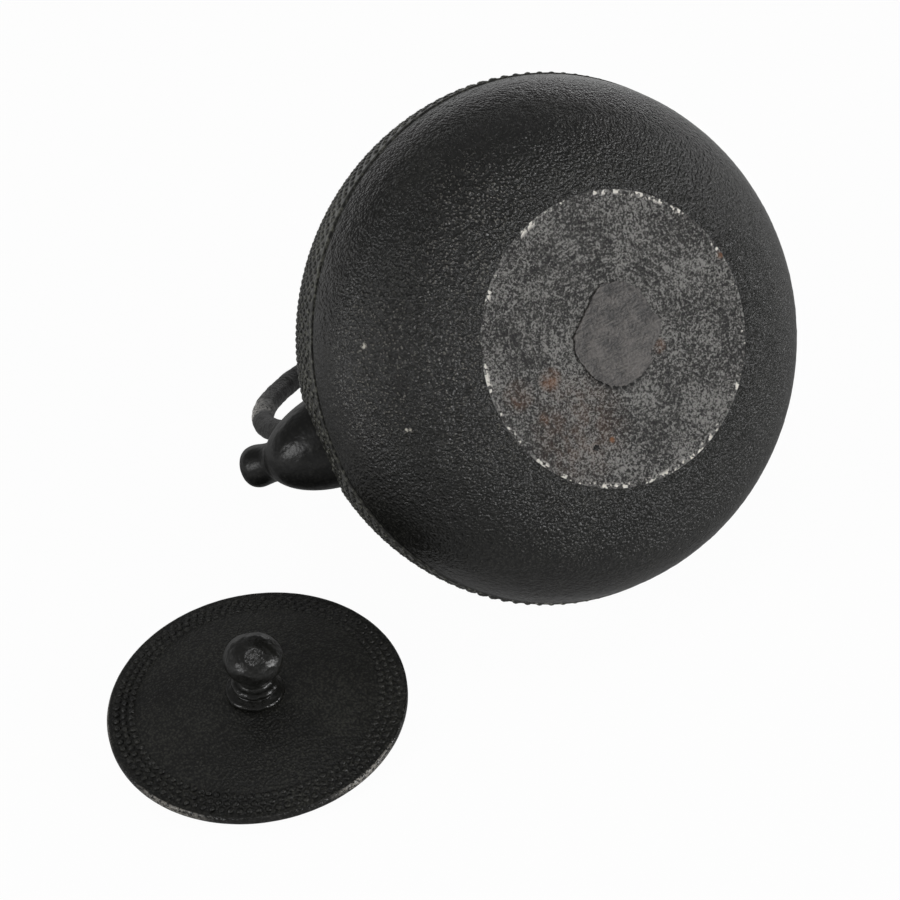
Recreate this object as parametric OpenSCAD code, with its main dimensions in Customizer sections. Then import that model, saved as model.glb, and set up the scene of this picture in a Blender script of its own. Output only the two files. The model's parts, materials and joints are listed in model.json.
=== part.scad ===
// Cast iron kettle in the tetsubin style, lying on its hobnailed shoulder and on
// the crown of its handle, with the lid taken off and laid flat beside it.
// Every piece of the kettle is drawn upright in the kettle's own frame: the seam
// plane is z = 0, +Z runs up to the mouth and the spout points to -X. The module
// lying() then lays the kettle down. All lengths are in millimetres.

/* [Kettle body] */
// Radius of the smooth lower bowl at the seam
seam_r = 85.5; // [66:0.5:110]
// Depth of the lower bowl, from the seam to the base disc
bowl_depth = 40; // [30:0.5:56]
// Radius of the flat base disc
base_r = 46.6; // [34:0.2:56]
// Height that the shoulder curve would reach above the seam if it were not cut by the mouth
dome_h = 73; // [66:0.5:92]
// Height of the plain collar that carries the lid seat
collar_h = 2.6; // [1.5:0.1:5]
// Width of the ledge between the hobnailed shoulder and the collar
collar_ledge = 2.6; // [1:0.1:6]
// Radius of the round mouth opening
mouth_r = 39.5; // [30:0.5:43]
// Thickness of the cast wall
wall = 2.8; // [2.4:0.1:5]
// Thickness of the cast floor behind the base disc
floor_t = 4.4; // [3:0.1:7]
// Height of the hobnails on the shoulder
nail_h = 1.2; // [0.6:0.1:2]
// Distance between the rows of hobnails at the seam; they draw together towards the mouth
nail_row = 2.6; // [2:0.1:6]
// Width of the top of a row of hobnails at the seam
nail_top = 0.9; // [0.4:0.1:1.6]
// Step out from the bowl to the shoulder at the seam
seam_step = 0.4; // [0.2:0.1:1.2]
// Height of the plain strip between the seam and the first row of hobnails
seam_strip = 1.4; // [0.8:0.1:5]
// Width of the plain pad round the ears and the spout, where the hobnails stop
pad_w = 1; // [0.4:0.1:3]

/* [Spout] */
// Clear height between the top of the spout's bulb and the foot of the front ear
spout_gap = 5.6; // [3:0.1:10]
// Distance that the centre of the bulb sits inside the body's outer skin
bulb_sink = 12.8; // [8:0.2:18]
// Half length of the bulb along its own axis
bulb_len = 29.8; // [26:0.2:36]
// Half thickness of the bulb
bulb_r = 16.2; // [13:0.2:18]
// Rise of the bulb's axis above the horizontal, in degrees
bulb_tilt = 15.6; // [5:0.2:25]
// Distance from the bulb's centre to the elbow where the nozzle's axis leaves it
elbow_at = 18.6; // [14:0.2:21]
// Length of the nozzle from the elbow to the lip
nozzle_len = 20; // [18:0.2:30]
// Rise of the nozzle above the horizontal, in degrees
nozzle_tilt = 53.7; // [40:0.1:65]
// Outer radius of the rounded lip
lip_r = 7.1; // [6.4:0.1:9]
// Outer radius of the neck behind the lip
neck_r = 6.5; // [6:0.1:8]
// Radius of the pouring bore
bore_r = 4.4; // [3:0.1:5]
// Radius of the port from the body into the bulb
port_r = 9; // [6:0.2:10]

/* [Handle and ears] */
// Distance of the middle of each ear inside the widest part of the shoulder
ear_inset = 18.4; // [14:0.2:26]
// Straight length of each leg, from the pin to the round arch
leg_len = 17.2; // [6:0.2:50]
// Radius of the handle's round rod
rod_r = 4.2; // [3.2:0.1:5.5]
// Angle that the handle leans back from the kettle's mid plane at rest, in degrees
handle_lean = 2.6; // [0:0.1:8]
// Radius of the pin at the foot of each leg
pin_r = 2.6; // [2:0.1:3.1]
// Radial running clearance of the pins in the ears
pin_clear = 0.08; // [0.03:0.01:0.1]
// Thickness of each ear along the pin
ear_t = 6; // [4:0.2:9]
// Radius of each ear around its hole
ear_r = 7.4; // [6:0.1:9]
// Height of the pins above the shoulder under them
ear_rise = 8.6; // [8:0.1:12]
// Clearance between each ear and the leg beside it
leg_gap = 0.4; // [0.3:0.1:1]
// Length that each pin stands out of the inner side of its ear
pin_proud = 1.6; // [0.6:0.1:4]

/* [Lid and knob] */
// Radius of the lid
lid_r = 49.1; // [44.5:0.1:58]
// Thickness of the lid plate
lid_t = 2.6; // [2:0.1:4]
// Rise of the lid from its rim to its centre
lid_rise = 5; // [2:0.1:9]
// Overhang of the lid past the collar that it sits on
lid_overhang = 1.1; // [0.5:0.1:3]
// Depth of the locating flange under the lid
flange_h = 4.5; // [3:0.1:9]
// Thickness of the locating flange
flange_t = 2.6; // [1.6:0.1:4]
// Radial clearance of the flange in the mouth
flange_clear = 0.7; // [0.3:0.1:1.5]
// Radius of the flattened ball of the knob
ball_r = 9.8; // [8:0.1:13]
// Half height of the flattened ball
ball_half_h = 7.3; // [5.5:0.1:10]
// Radius of the knob's foot ring
foot_r = 9.7; // [7.5:0.1:12]
// Radius of the knob's upper ring
ring_r = 7.8; // [6.2:0.1:9.5]
// Radius of the knob's neck
knob_neck_r = 5.2; // [4:0.1:6]
// Height of the knob from its foot to the bottom of the ball
stem_h = 9; // [7:0.1:14]
// Radius of the spindle that holds the knob to the lid
spindle_r = 3; // [2:0.1:3.8]
// Radius of the washer under the lid
washer_r = 9; // [7:0.1:12]
// Thickness of the washer
washer_t = 1.4; // [0.8:0.1:2.5]
// Height of the riveted end of the spindle under the washer
rivet_h = 1.5; // [0.8:0.1:2.5]

/* [Resting place] */
// Distance from the tip of the spout out to the middle of the lid, along X
lid_apart_x = 31.3; // [24:0.2:80]
// Distance of the middle of the lid from the middle of the kettle, along Y
lid_apart_y = -9.8; // [-60:0.2:6]

/* [Hidden] */

CURVE = 128;            // smoothness of the big round solids
FINE = 64;              // smoothness of the small round solids
OUTLINE_STEPS = 22;     // points along each long curve of an outline
SHORT_STEPS = 12;       // points along each short curve of an outline
EPS = 0.02;             // overlap that keeps two cuts from sharing a face
PAST = 1;               // length that a cutting tool runs past what it cuts

IRON = "#2b2c2d";
WORN_IRON = "#3a3a3a";

// ---- outline of the cast body -------------------------------------------------

BOWL_POWER = 1.8;       // fullness of the bowl towards the seam
BOWL_ROUND = 0.6;       // fullness of the bowl towards the base disc

skin_r = seam_r + seam_step;            // plain skin of the shoulder at the seam
dome_r = skin_r + nail_h;               // shoulder at the seam over the hobnails
collar_r = lid_r - lid_overhang;
skin_h = dome_h - nail_h;               // height of the plain skin's own curve
inner_r = seam_r - wall;                // cavity at the seam
inner_dome_h = skin_h - wall;           // height of the cavity's own curve
inner_base_r = base_r - floor_t / 2;
inner_depth = bowl_depth - floor_t;

// Radius of a bowl of the given rim radius, depth and base radius at depth d
function bowl_radius(d, rim, depth, base) =
    base + (rim - base) * pow(1 - pow(d / depth, BOWL_POWER), BOWL_ROUND);
// Radius of a shoulder curve of the given rim radius and height at height z
function dome_radius(z, rim, height) = rim * sqrt(1 - pow(z / height, 2));
// Height of the shoulder over the hobnails at radius r
function dome_height(r) = dome_h * sqrt(1 - pow(r / dome_r, 2));

// Depths from the base disc to the seam, closer together near the base disc
function bowl_depths(depth) =
    [for (i = [0 : OUTLINE_STEPS]) depth * cos(90 * i / OUTLINE_STEPS)];
function bowl_outline(rim, depth, base) =
    [for (d = bowl_depths(depth)) [bowl_radius(d, rim, depth, base), -d]];
// Shoulder curve between two heights, at even angles of the ellipse
function dome_outline(rim, height, z0, z1) =
    let (a0 = asin(z0 / height), a1 = asin(z1 / height))
    [for (i = [0 : OUTLINE_STEPS])
        let (a = a0 + (a1 - a0) * i / OUTLINE_STEPS) [rim * cos(a), height * sin(a)]];

collar_z = dome_height(collar_r + collar_ledge);    // where the ledge leaves the shoulder
mouth_z = collar_z + collar_h;          // lid seat

// Angle from one row of hobnails to the next on the shoulder's ellipse, at angle a
function row_turn(a) =
    nail_row * cos(a) / norm([skin_r * sin(a), skin_h * cos(a)]) * 180 / PI;
first_row = asin((seam_strip + nail_row / 2) / skin_h);
last_row = asin(collar_z / dome_h);
nail_rows = [for (a = first_row; a + row_turn(a) < last_row; a = a + row_turn(a)) a];

// A row of hobnails as a bead: valley on the skin, then the two edges of its top
nail_outline = [for (a = nail_rows)
    let (half = row_turn(a) / 2, top = half * nail_top / nail_row)
    each [[skin_r * cos(a - half), skin_h * sin(a - half)],
          [dome_r * cos(a - top), dome_h * sin(a - top)],
          [dome_r * cos(a + top), dome_h * sin(a + top)]]];
top_valley = let (a = nail_rows[len(nail_rows) - 1]) a + row_turn(a) / 2;

bowl_outside = concat([[0, -bowl_depth]], bowl_outline(seam_r, bowl_depth, base_r));

outer_outline = concat(
    bowl_outside,
    [[skin_r, 0]],
    nail_outline,
    [[skin_r * cos(top_valley), skin_h * sin(top_valley)]],
    [[dome_radius(collar_z, dome_r, dome_h), collar_z],
     [collar_r, collar_z], [collar_r, mouth_z], [0, mouth_z]]);

PAD_PROUD = 0.2;        // height of the plain pads over the tops of the hobnails

// Smooth body just over the hobnails, which the ears and the spout stand on
seat_outline = concat(
    bowl_outside,
    dome_outline(dome_r + PAD_PROUD, dome_h + PAD_PROUD, 0, collar_z),
    [[0, collar_z]]);

inner_outline = concat(
    [[0, -inner_depth]],
    bowl_outline(inner_r, inner_depth, inner_base_r),
    dome_outline(inner_r, inner_dome_h, 0, collar_z - wall),
    [[0, collar_z - wall]]);

// ---- how the kettle lies ------------------------------------------------------

ear_mid_x = dome_r - ear_inset;
ear_out_x = ear_mid_x + ear_t / 2;      // outer face of each ear
leg_x = ear_out_x + leg_gap + rod_r;
pivot_z = dome_height(ear_mid_x) + ear_rise;
EAR_FOOT = 1.35;        // width of an ear's foot as a multiple of its top
ear_foot_w = ear_r * EAR_FOOT;          // half width of the foot
// Fall of the shoulder at the middle of each ear, in degrees
ear_slope = atan2(ear_mid_x / pow(dome_r, 2), dome_height(ear_mid_x) / pow(dome_h, 2));
leg_top = pivot_z + leg_len;            // where the legs run into the round arch
handle_z = leg_top + leg_x;             // middle of the rod at the crown

// Height of the seam's centre over the table when the axis dips by t degrees
function lying_height(t) = sqrt(pow(dome_r * cos(t), 2) + pow(dome_h * sin(t), 2));
// How far the handle's crown reaches below the table at that dip
function crown_dip(t) = pivot_z * sin(t) + (handle_z - pivot_z) * sin(t - handle_lean)
    + rod_r - lying_height(t);
// Dip at which the crown just touches the table, by halving the interval
function find_dip(low, high, steps) =
    let (mid = (low + high) / 2)
    steps == 0 ? mid
    : crown_dip(mid) > 0 ? find_dip(low, mid, steps - 1)
    : find_dip(mid, high, steps - 1);

DIP_STEPS = 30;
dip = find_dip(0, 90, DIP_STEPS);
seam_height = lying_height(dip);

// ---- place of the spout -------------------------------------------------------

spout_z = dome_height(ear_out_x) - spout_gap - bulb_r;  // middle of the bulb
bulb_x = dome_radius(spout_z, dome_r, dome_h) - bulb_sink;
elbow_x = bulb_x + elbow_at * cos(bulb_tilt);
elbow_z = spout_z + elbow_at * sin(bulb_tilt);
tip_x = elbow_x + nozzle_len * cos(nozzle_tilt);

// ---- place of the lid, and the box of the whole --------------------------------

lid_x = -(tip_x + lid_apart_x);
lid_y = lid_apart_y;
reach_right = dome_r;
reach_left = lid_r - lid_x;
reach_handle = pivot_z * cos(dip) + (handle_z - pivot_z) * cos(dip - handle_lean) + rod_r;
reach_base = max([for (p = bowl_outline(seam_r, bowl_depth, base_r))
    p[0] * sin(dip) - p[1] * cos(dip)]);
kettle_x = (reach_left - reach_right) / 2;
kettle_y = (reach_base - reach_handle) / 2;

// Lays an upright kettle piece on its shoulder
module lying() {
    translate([kettle_x, kettle_y, seam_height])
        rotate([-(90 + dip), 0, 0]) children();
}

// Puts a lid piece on the table beside the kettle, on its flange
module beside() {
    translate([kettle_x + lid_x, kettle_y + lid_y, flange_h]) children();
}

// ---- body -----------------------------------------------------------------------

module seat_body() {
    rotate_extrude($fn = CURVE) polygon(seat_outline);
}

// Turns a solid drawn along +Z into the spout's mid plane, rising by tilt degrees
module along_spout(x, z, tilt) {
    translate([-x, 0, z]) rotate([0, tilt - 90, 0]) children();
}

// Plain pads for the foot of each ear and for the root of the spout
module pads() {
    intersection() {
        seat_body();
        union() {
            for (side = [-1, 1])
                translate([side * ear_mid_x, 0, dome_height(ear_mid_x)])
                    rotate([0, side * ear_slope, 0])
                        cube([(ear_t + 2 * pad_w) / cos(ear_slope),
                              2 * (ear_foot_w + pad_w), 2 * ear_rise], center = true);
            along_spout(bulb_x, spout_z, bulb_tilt)
                cylinder(r = bulb_r + pad_w, h = 2 * bulb_sink, $fn = FINE);
        }
    }
}

module spout_port() {
    along_spout(bulb_x, spout_z, bulb_tilt)
        translate([0, 0, -bulb_sink]) cylinder(r = port_r, h = 2 * bulb_sink, $fn = FINE);
}

module kettle_body() {
    color(IRON) lying() difference() {
        union() {
            rotate_extrude($fn = CURVE) polygon(outer_outline);
            pads();
        }
        rotate_extrude($fn = CURVE) polygon(inner_outline);
        translate([0, 0, collar_z - wall - EPS])
            cylinder(r = mouth_r, h = collar_h + wall + PAST, $fn = CURVE);
        spout_port();
    }
}

// ---- spout ----------------------------------------------------------------------

LIP_ROUND = 4;          // radius of the rolled edge of the lip
NECK_BACK = 8.6;        // distance of the neck's waist behind the lip
NECK_FLARE = 1;         // how much wider the neck is at its root than at its waist

// Half ellipse about the Z axis, as points from its lower to its upper end
function half_ellipse(radius, half) =
    [for (i = [0 : 2 * SHORT_STEPS])
        let (a = -90 + 90 * i / SHORT_STEPS) [radius * cos(a), half * sin(a)]];

// Nozzle outline from the elbow to the lip: buried root, waist and rolled edge
nozzle_outline = concat(
    [[0, 0], [neck_r + NECK_FLARE, 0], [neck_r, nozzle_len - NECK_BACK]],
    [for (i = [0 : SHORT_STEPS])
        let (a = 90 * i / SHORT_STEPS)
        [lip_r - LIP_ROUND / 2 * (1 - cos(a)), nozzle_len - LIP_ROUND * (1 - sin(a))]],
    [[0, nozzle_len]]);

module spout() {
    color(WORN_IRON) lying() difference() {
        union() {
            along_spout(bulb_x, spout_z, bulb_tilt)
                rotate_extrude($fn = FINE) polygon(half_ellipse(bulb_r, bulb_len));
            along_spout(elbow_x, elbow_z, nozzle_tilt)
                rotate_extrude($fn = FINE) polygon(nozzle_outline);
        }
        seat_body();
        along_spout(bulb_x, spout_z, bulb_tilt)
            rotate_extrude($fn = FINE) polygon(half_ellipse(bulb_r - wall, bulb_len - wall));
        along_spout(elbow_x, elbow_z, nozzle_tilt)
            cylinder(r = bore_r, h = nozzle_len + PAST, $fn = FINE);
    }
}

// ---- ears -----------------------------------------------------------------------

// Ear on the side given by side: -1 above the spout, 1 at the back
module ear(side) {
    foot_z = pivot_z - 2 * ear_rise;
    difference() {
        translate([side * ear_mid_x - ear_t / 2, 0, 0]) rotate([90, 0, 90])
            linear_extrude(ear_t) union() {
                translate([0, pivot_z]) circle(ear_r, $fn = FINE);
                polygon([[-ear_foot_w, foot_z], [ear_foot_w, foot_z],
                         [ear_r, pivot_z], [-ear_r, pivot_z]]);
            }
        translate([side * ear_mid_x - ear_t, 0, pivot_z]) rotate([0, 90, 0])
            cylinder(r = pin_r + pin_clear, h = 2 * ear_t, $fn = FINE);
        seat_body();
    }
}

module ear_front() {
    color(IRON) lying() ear(-1);
}

module ear_rear() {
    color(IRON) lying() ear(1);
}

// ---- handle ---------------------------------------------------------------------

pin_len = rod_r + leg_gap + ear_t + pin_proud;

module handle_leg() {
    translate([leg_x, 0, pivot_z]) cylinder(r = rod_r, h = leg_len, $fn = FINE);
    translate([leg_x, 0, pivot_z]) sphere(r = rod_r, $fn = FINE);
    translate([leg_x - pin_len, 0, pivot_z]) rotate([0, 90, 0])
        cylinder(r = pin_r, h = pin_len, $fn = FINE);
}

module handle() {
    color(IRON) lying()
        translate([0, 0, pivot_z]) rotate([handle_lean, 0, 0]) translate([0, 0, -pivot_z]) {
            translate([0, 0, leg_top]) rotate([90, 0, 0])
                rotate_extrude(angle = 180, $fn = CURVE)
                    translate([leg_x, 0]) circle(rod_r, $fn = FINE);
            handle_leg();
            mirror([1, 0, 0]) handle_leg();
        }
}

// ---- lid ------------------------------------------------------------------------

RIM_FLAT = 2.4;         // width of the plain flat rim of the lid
RIM_BEVEL = 0.7;        // bevel round the lid's upper edge

dome_edge = lid_r - RIM_FLAT;           // where the lid starts to rise
flange_r = mouth_r - flange_clear;
// Sphere radius of a cap that rises by lid_rise over the given edge radius
function cap_radius(edge) = (edge * edge + lid_rise * lid_rise) / (2 * lid_rise);
// Rise of the lid above its rim at radius r
function lid_curve(r) = r >= dome_edge ? 0
    : lid_rise - cap_radius(dome_edge) + sqrt(pow(cap_radius(dome_edge), 2) - r * r);
// Radii from the centre of the lid to the given edge
function lid_radii(edge) = [for (i = [0 : OUTLINE_STEPS]) edge * i / OUTLINE_STEPS];

lid_outline = concat(
    [for (r = lid_radii(flange_r - flange_t)) [r, lid_curve(r)]],
    [[flange_r - flange_t, -flange_h], [flange_r, -flange_h], [flange_r, 0], [lid_r, 0],
     [lid_r, lid_t - RIM_BEVEL], [lid_r - RIM_BEVEL, lid_t]],
    [for (i = [0 : OUTLINE_STEPS])
        let (r = dome_edge * (1 - i / OUTLINE_STEPS)) [r, lid_t + lid_curve(r)]]);

module lid_plate() {
    color(IRON) beside() difference() {
        rotate_extrude($fn = CURVE) polygon(lid_outline);
        cylinder(r = spindle_r, h = lid_t + lid_rise + PAST, $fn = FINE);
    }
}

// ---- knob -----------------------------------------------------------------------

FOOT_H = 1.9;           // height of the foot ring
RING_GAP = 1;           // height of the groove between the foot ring and the upper ring
RING_H = 2.4;           // height of the upper ring
GROOVE = 1;             // depth of that groove inside the upper ring
RIVET_FOOT = 0.9;       // end of the rivet as a multiple of the spindle
RIVET_HEAD = 1.6;       // rivet at the washer as a multiple of the spindle
foot_z = lid_t + lid_curve(foot_r);     // the foot ring's edge meets the lid here
ball_z = foot_z + stem_h + ball_half_h * cos(asin(knob_neck_r / ball_r));
seat_z = lid_curve(washer_r);           // the washer's edge meets the lid here
ring_z = foot_z + FOOT_H + RING_GAP;    // bottom of the upper ring

// Outline of a ring bead of radius r between z0 and z1, on a stem of radius stem
function bead(r, stem, z0, z1) =
    let (half = (z1 - z0) / 2, bulge = min(half, r - stem))
    [for (i = [0 : SHORT_STEPS])
        let (a = -90 + 180 * i / SHORT_STEPS)
        [r - bulge + bulge * cos(a), (z0 + z1) / 2 + half * sin(a)]];

// Ball of the knob, from the neck to its top
ball_outline = let (a0 = -acos(knob_neck_r / ball_r))
    [for (i = [0 : 2 * SHORT_STEPS])
        let (a = a0 + (90 - a0) * i / (2 * SHORT_STEPS))
        [ball_r * cos(a), ball_z + ball_half_h * sin(a)]];

knob_outline = concat(
    [[0, foot_z]],
    bead(foot_r, ring_r, foot_z, foot_z + FOOT_H),
    [[ring_r - GROOVE, foot_z + FOOT_H]],
    bead(ring_r, knob_neck_r, ring_z, ring_z + RING_H),
    ball_outline);

module knob() {
    rivet_z = seat_z - washer_t;
    color(WORN_IRON) beside() union() {
        difference() {
            rotate_extrude($fn = FINE) polygon(knob_outline);
            rotate_extrude($fn = CURVE) polygon(lid_outline);
        }
        translate([0, 0, rivet_z]) cylinder(r = spindle_r, h = foot_z - rivet_z + PAST, $fn = FINE);
        translate([0, 0, rivet_z - rivet_h])
            cylinder(r1 = spindle_r * RIVET_FOOT, r2 = spindle_r * RIVET_HEAD,
                     h = rivet_h, $fn = FINE);
    }
}

module knob_washer() {
    color(WORN_IRON) beside() difference() {
        translate([0, 0, seat_z - washer_t]) cylinder(r = washer_r, h = washer_t, $fn = FINE);
        translate([0, 0, seat_z - washer_t - PAST])
            cylinder(r = spindle_r, h = washer_t + 2 * PAST, $fn = FINE);
    }
}

kettle_body();
spout();
ear_front();
ear_rear();
handle();
lid_plate();
knob();
knob_washer();
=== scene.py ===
"""Looks of a cast iron kettle that lies on its hobnailed shoulder, with its lid beside it.

Every class below is one finish, one casting or one group of parts, or the studio. The
kettle's own parts are modelled upright, in millimetres, with the seam plane at z = 0, the
mouth up +Z and the spout to -X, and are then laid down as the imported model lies. The
lid's parts have z = 0 at the underside of the lid's rim.
"""

import json
import logging
import math
from dataclasses import dataclass
from enum import Enum
from typing import Callable, Iterable, Sequence

import bmesh
import bpy
from bmesh.types import BMEdge, BMesh, BMVert
from bpy.types import Material, Mesh, Node, NodeSocket, NodeTree, Object
from mathutils import Matrix, Vector, noise


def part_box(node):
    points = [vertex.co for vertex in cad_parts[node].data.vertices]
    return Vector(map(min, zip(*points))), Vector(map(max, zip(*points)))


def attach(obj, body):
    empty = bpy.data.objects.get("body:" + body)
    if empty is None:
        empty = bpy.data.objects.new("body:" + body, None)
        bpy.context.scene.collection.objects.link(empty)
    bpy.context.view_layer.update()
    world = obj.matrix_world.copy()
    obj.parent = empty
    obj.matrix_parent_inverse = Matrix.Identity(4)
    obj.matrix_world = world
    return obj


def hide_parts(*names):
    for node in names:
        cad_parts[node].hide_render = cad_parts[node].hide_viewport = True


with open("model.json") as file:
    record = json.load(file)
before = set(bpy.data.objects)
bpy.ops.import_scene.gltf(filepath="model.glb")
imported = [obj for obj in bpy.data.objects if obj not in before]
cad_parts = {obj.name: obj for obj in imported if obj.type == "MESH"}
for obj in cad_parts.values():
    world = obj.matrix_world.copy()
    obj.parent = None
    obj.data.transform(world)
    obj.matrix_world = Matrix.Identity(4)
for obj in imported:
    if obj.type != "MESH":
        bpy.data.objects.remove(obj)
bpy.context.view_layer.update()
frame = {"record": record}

log = logging.getLogger("kettle")

# Sizes that several classes share, in millimetres.
BOWL_DEPTH = 40.0
BASE_R = 46.6
PIVOT_Z = 53.474
FLANGE_H = 4.5

MM = 0.001
UPRIGHT = Matrix.Identity(4)
SPOT_CORE = 0.4  # share of a spot's reach over which it keeps its full strength

Point = tuple[float, float]
Span = tuple[float, float]
Place = tuple[float, float, float]
Colour = tuple[float, float, float, float]
Spots = tuple[tuple[Place, float, float], ...]


# ---- small helpers ------------------------------------------------------------


def linear(code: str) -> Colour:
    """Turn an sRGB hex colour into the linear colour that shaders take.

    Args:
        code: Colour such as "#2b2c2d".

    Returns:
        Linear red, green, blue and an alpha of 1.
    """
    parts = [int(code[i:i + 2], 16) / 255 for i in (1, 3, 5)]
    low = [c / 12.92 if c <= 0.04045 else ((c + 0.055) / 1.055) ** 2.4 for c in parts]
    return (low[0], low[1], low[2], 1.0)


def grey(value: float) -> Colour:
    """Return an even grey of the given linear value."""
    return (value, value, value, 1.0)


def per_metre(size_mm: float) -> float:
    """Return the texture scale whose features are size_mm across."""
    return 1000.0 / size_mm


def bell(offset: float, width: float) -> float:
    """Return 1 at an offset of 0 and less away from it, down to 0 in a bell's curve."""
    return math.exp(-(offset / width) ** 2)


def held(value: float) -> float:
    """Return a value held between 0 and 1."""
    return min(1.0, max(0.0, value))


def lumps(at: Vector) -> float:
    """Return smooth noise from 0 to 1 at a place."""
    return 0.5 + 0.5 * noise.noise(at)


def grains(at: Vector, fall: float, gap: float, layers: int) -> float:
    """Return layered noise around 0.5 at a place, coarse and fine together."""
    return 0.5 + 0.5 * noise.fractal(at, fall, gap, layers)


def off_axis(at: Vector) -> float:
    """Return how far a place lies from the Z axis."""
    return math.hypot(at.x, at.y)


# ---- node helpers ---------------------------------------------------------------


def feed(tree: NodeTree, node: Node, inputs: dict) -> None:
    """Give the inputs of a node their constants and links.

    Args:
        tree: Node tree that holds the node.
        node: The node to feed.
        inputs: Constants, output sockets or nodes, by input name or number. A node
            stands for the first of its outputs that is in use.
    """
    for name, value in inputs.items():
        if isinstance(value, Node):
            value = next(out for out in value.outputs if out.enabled)
        if isinstance(value, NodeSocket):
            tree.links.new(value, node.inputs[name])
        else:
            node.inputs[name].default_value = value


def add_node(tree: NodeTree, kind: str, inputs: dict | None = None,
             **settings: object) -> Node:
    """Add a node with its settings, its constants and its links.

    Args:
        tree: Node tree that takes the node.
        kind: Blender's name of the node type.
        inputs: What its inputs take, as in feed.
        settings: Properties of the node.

    Returns:
        The new node.
    """
    node = tree.nodes.new(kind)
    for name, value in settings.items():
        setattr(node, name, value)
    feed(tree, node, inputs or {})
    return node


def set_ramp(node: Node, positions: Sequence[float], colours: Iterable[Colour]) -> Node:
    """Set the stops of a colour ramp.

    Args:
        node: Colour ramp node.
        positions: Position of each stop, in rising order.
        colours: Colour of each stop.

    Returns:
        The same node.
    """
    elements = node.color_ramp.elements
    while len(elements) < len(positions):
        elements.new(1.0)
    for element, position, colour in zip(elements, positions, colours):
        element.position = position
        element.color = colour
    return node


def new_material(name: str) -> tuple[Material, NodeTree, Node]:
    """Make a material out of nodes.

    Args:
        name: Name of the material.

    Returns:
        The material, its node tree and its shader.
    """
    material = bpy.data.materials.new(name)
    material.use_nodes = True
    return material, material.node_tree, material.node_tree.nodes["Principled BSDF"]


# ---- how the parts lie ----------------------------------------------------------


class Resting:
    """Where the kettle and its lid lie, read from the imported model."""

    def kettle(self) -> Matrix:
        """Return the matrix from the upright kettle in millimetres to its place."""
        base = next(m for m in frame["record"]["mounts"] if m["name"] == "base")
        up = -Vector(base["axis"]).normalized()
        side = Vector((1.0, 0.0, 0.0))
        across = up.cross(side).normalized()
        seam = Vector(base["pos_m"]) + up * BOWL_DEPTH * MM
        turn = Matrix((side, across, up)).transposed().to_4x4()
        return Matrix.Translation(seam) @ turn @ Matrix.Scale(MM, 4)

    def lid(self) -> Matrix:
        """Return the matrix from the lid's own frame in millimetres to its place."""
        low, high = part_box("lid_plate")
        middle = Vector(((low[0] + high[0]) / 2, (low[1] + high[1]) / 2,
                         low[2] + FLANGE_H * MM))
        return Matrix.Translation(middle) @ Matrix.Scale(MM, 4)


REST = Resting()


# ---- mesh helpers ---------------------------------------------------------------


def evenly(points: Sequence[Point], step: float) -> list[Point]:
    """Space points evenly along an outline, and keep its two ends.

    Args:
        points: Corner points of the outline.
        step: Largest distance between neighbours in the result.

    Returns:
        The evenly spaced points.
    """
    lengths = [math.dist(a, b) for a, b in zip(points, points[1:])]
    total = sum(lengths)
    count = max(1, math.ceil(total / step))
    result, leg, gone = [], 0, 0.0
    for i in range(count):
        goal = total * i / count
        while gone + lengths[leg] < goal:
            gone += lengths[leg]
            leg += 1
        t = (goal - gone) / lengths[leg]
        a, b = points[leg], points[leg + 1]
        result.append((a[0] + (b[0] - a[0]) * t, a[1] + (b[1] - a[1]) * t))
    return result + [points[-1]]


def arc(middle: Point, wide: float, tall: float, first: float, last: float,
        steps: int) -> list[Point]:
    """Return points along part of an ellipse.

    Args:
        middle: Middle of the ellipse.
        wide: Its half width.
        tall: Its half height.
        first: Angle of the first point, in radians.
        last: Angle of the last point.
        steps: Legs from the first point to the last.

    Returns:
        One point more than there are legs.
    """
    angles = [first + (last - first) * i / steps for i in range(steps + 1)]
    return [(middle[0] + wide * math.cos(a), middle[1] + tall * math.sin(a)) for a in angles]


def spun(bm: BMesh, outline: Sequence[Point], steps: int, turn: Matrix = UPRIGHT,
         closed: bool = False) -> None:
    """Spin an outline of radius and height once round the Z axis.

    Args:
        bm: Mesh that takes the new faces.
        outline: Points of radius and height, from one end to the other.
        steps: Copies round the axis.
        turn: Matrix that places the finished solid.
        closed: Whether the last point joins the first.
    """
    before = set(bm.verts)
    verts = [bm.verts.new((r, 0.0, z)) for r, z in outline]
    edges = [bm.edges.new(pair) for pair in zip(verts, verts[1:])]
    if closed:
        edges.append(bm.edges.new((verts[-1], verts[0])))
    bmesh.ops.spin(bm, geom=verts + edges, axis=(0, 0, 1), cent=(0, 0, 0),
                   angle=math.tau, steps=steps, use_merge=True)
    fresh = [v for v in bm.verts if v not in before]
    bmesh.ops.remove_doubles(bm, verts=fresh, dist=0.0005)
    fresh = [v for v in bm.verts if v not in before]
    bmesh.ops.transform(bm, matrix=turn, verts=fresh)


def add_rod(bm: BMesh, radius: float, length: float, place: Matrix, sides: int = 64) -> None:
    """Add a closed round rod, modelled along +Z with its middle at the origin."""
    bmesh.ops.create_cone(bm, cap_ends=True, segments=sides, radius1=radius,
                          radius2=radius, depth=length, matrix=place)


def drawn_out(bm: BMesh, rim: list[BMEdge]) -> tuple[list[BMVert], list[BMEdge]]:
    """Extrude an open rim in place, and return the new vertices and edges."""
    grown = bmesh.ops.extrude_edge_only(bm, edges=rim)["geom"]
    return ([v for v in grown if isinstance(v, BMVert)],
            [e for e in grown if isinstance(e, BMEdge)])


def about(height: float, degrees: float, axis: str | Vector) -> Matrix:
    """Return a turn about an axis through a height on the Z axis."""
    return (Matrix.Translation((0, 0, height))
            @ Matrix.Rotation(math.radians(degrees), 4, axis)
            @ Matrix.Translation((0, 0, -height)))


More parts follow.
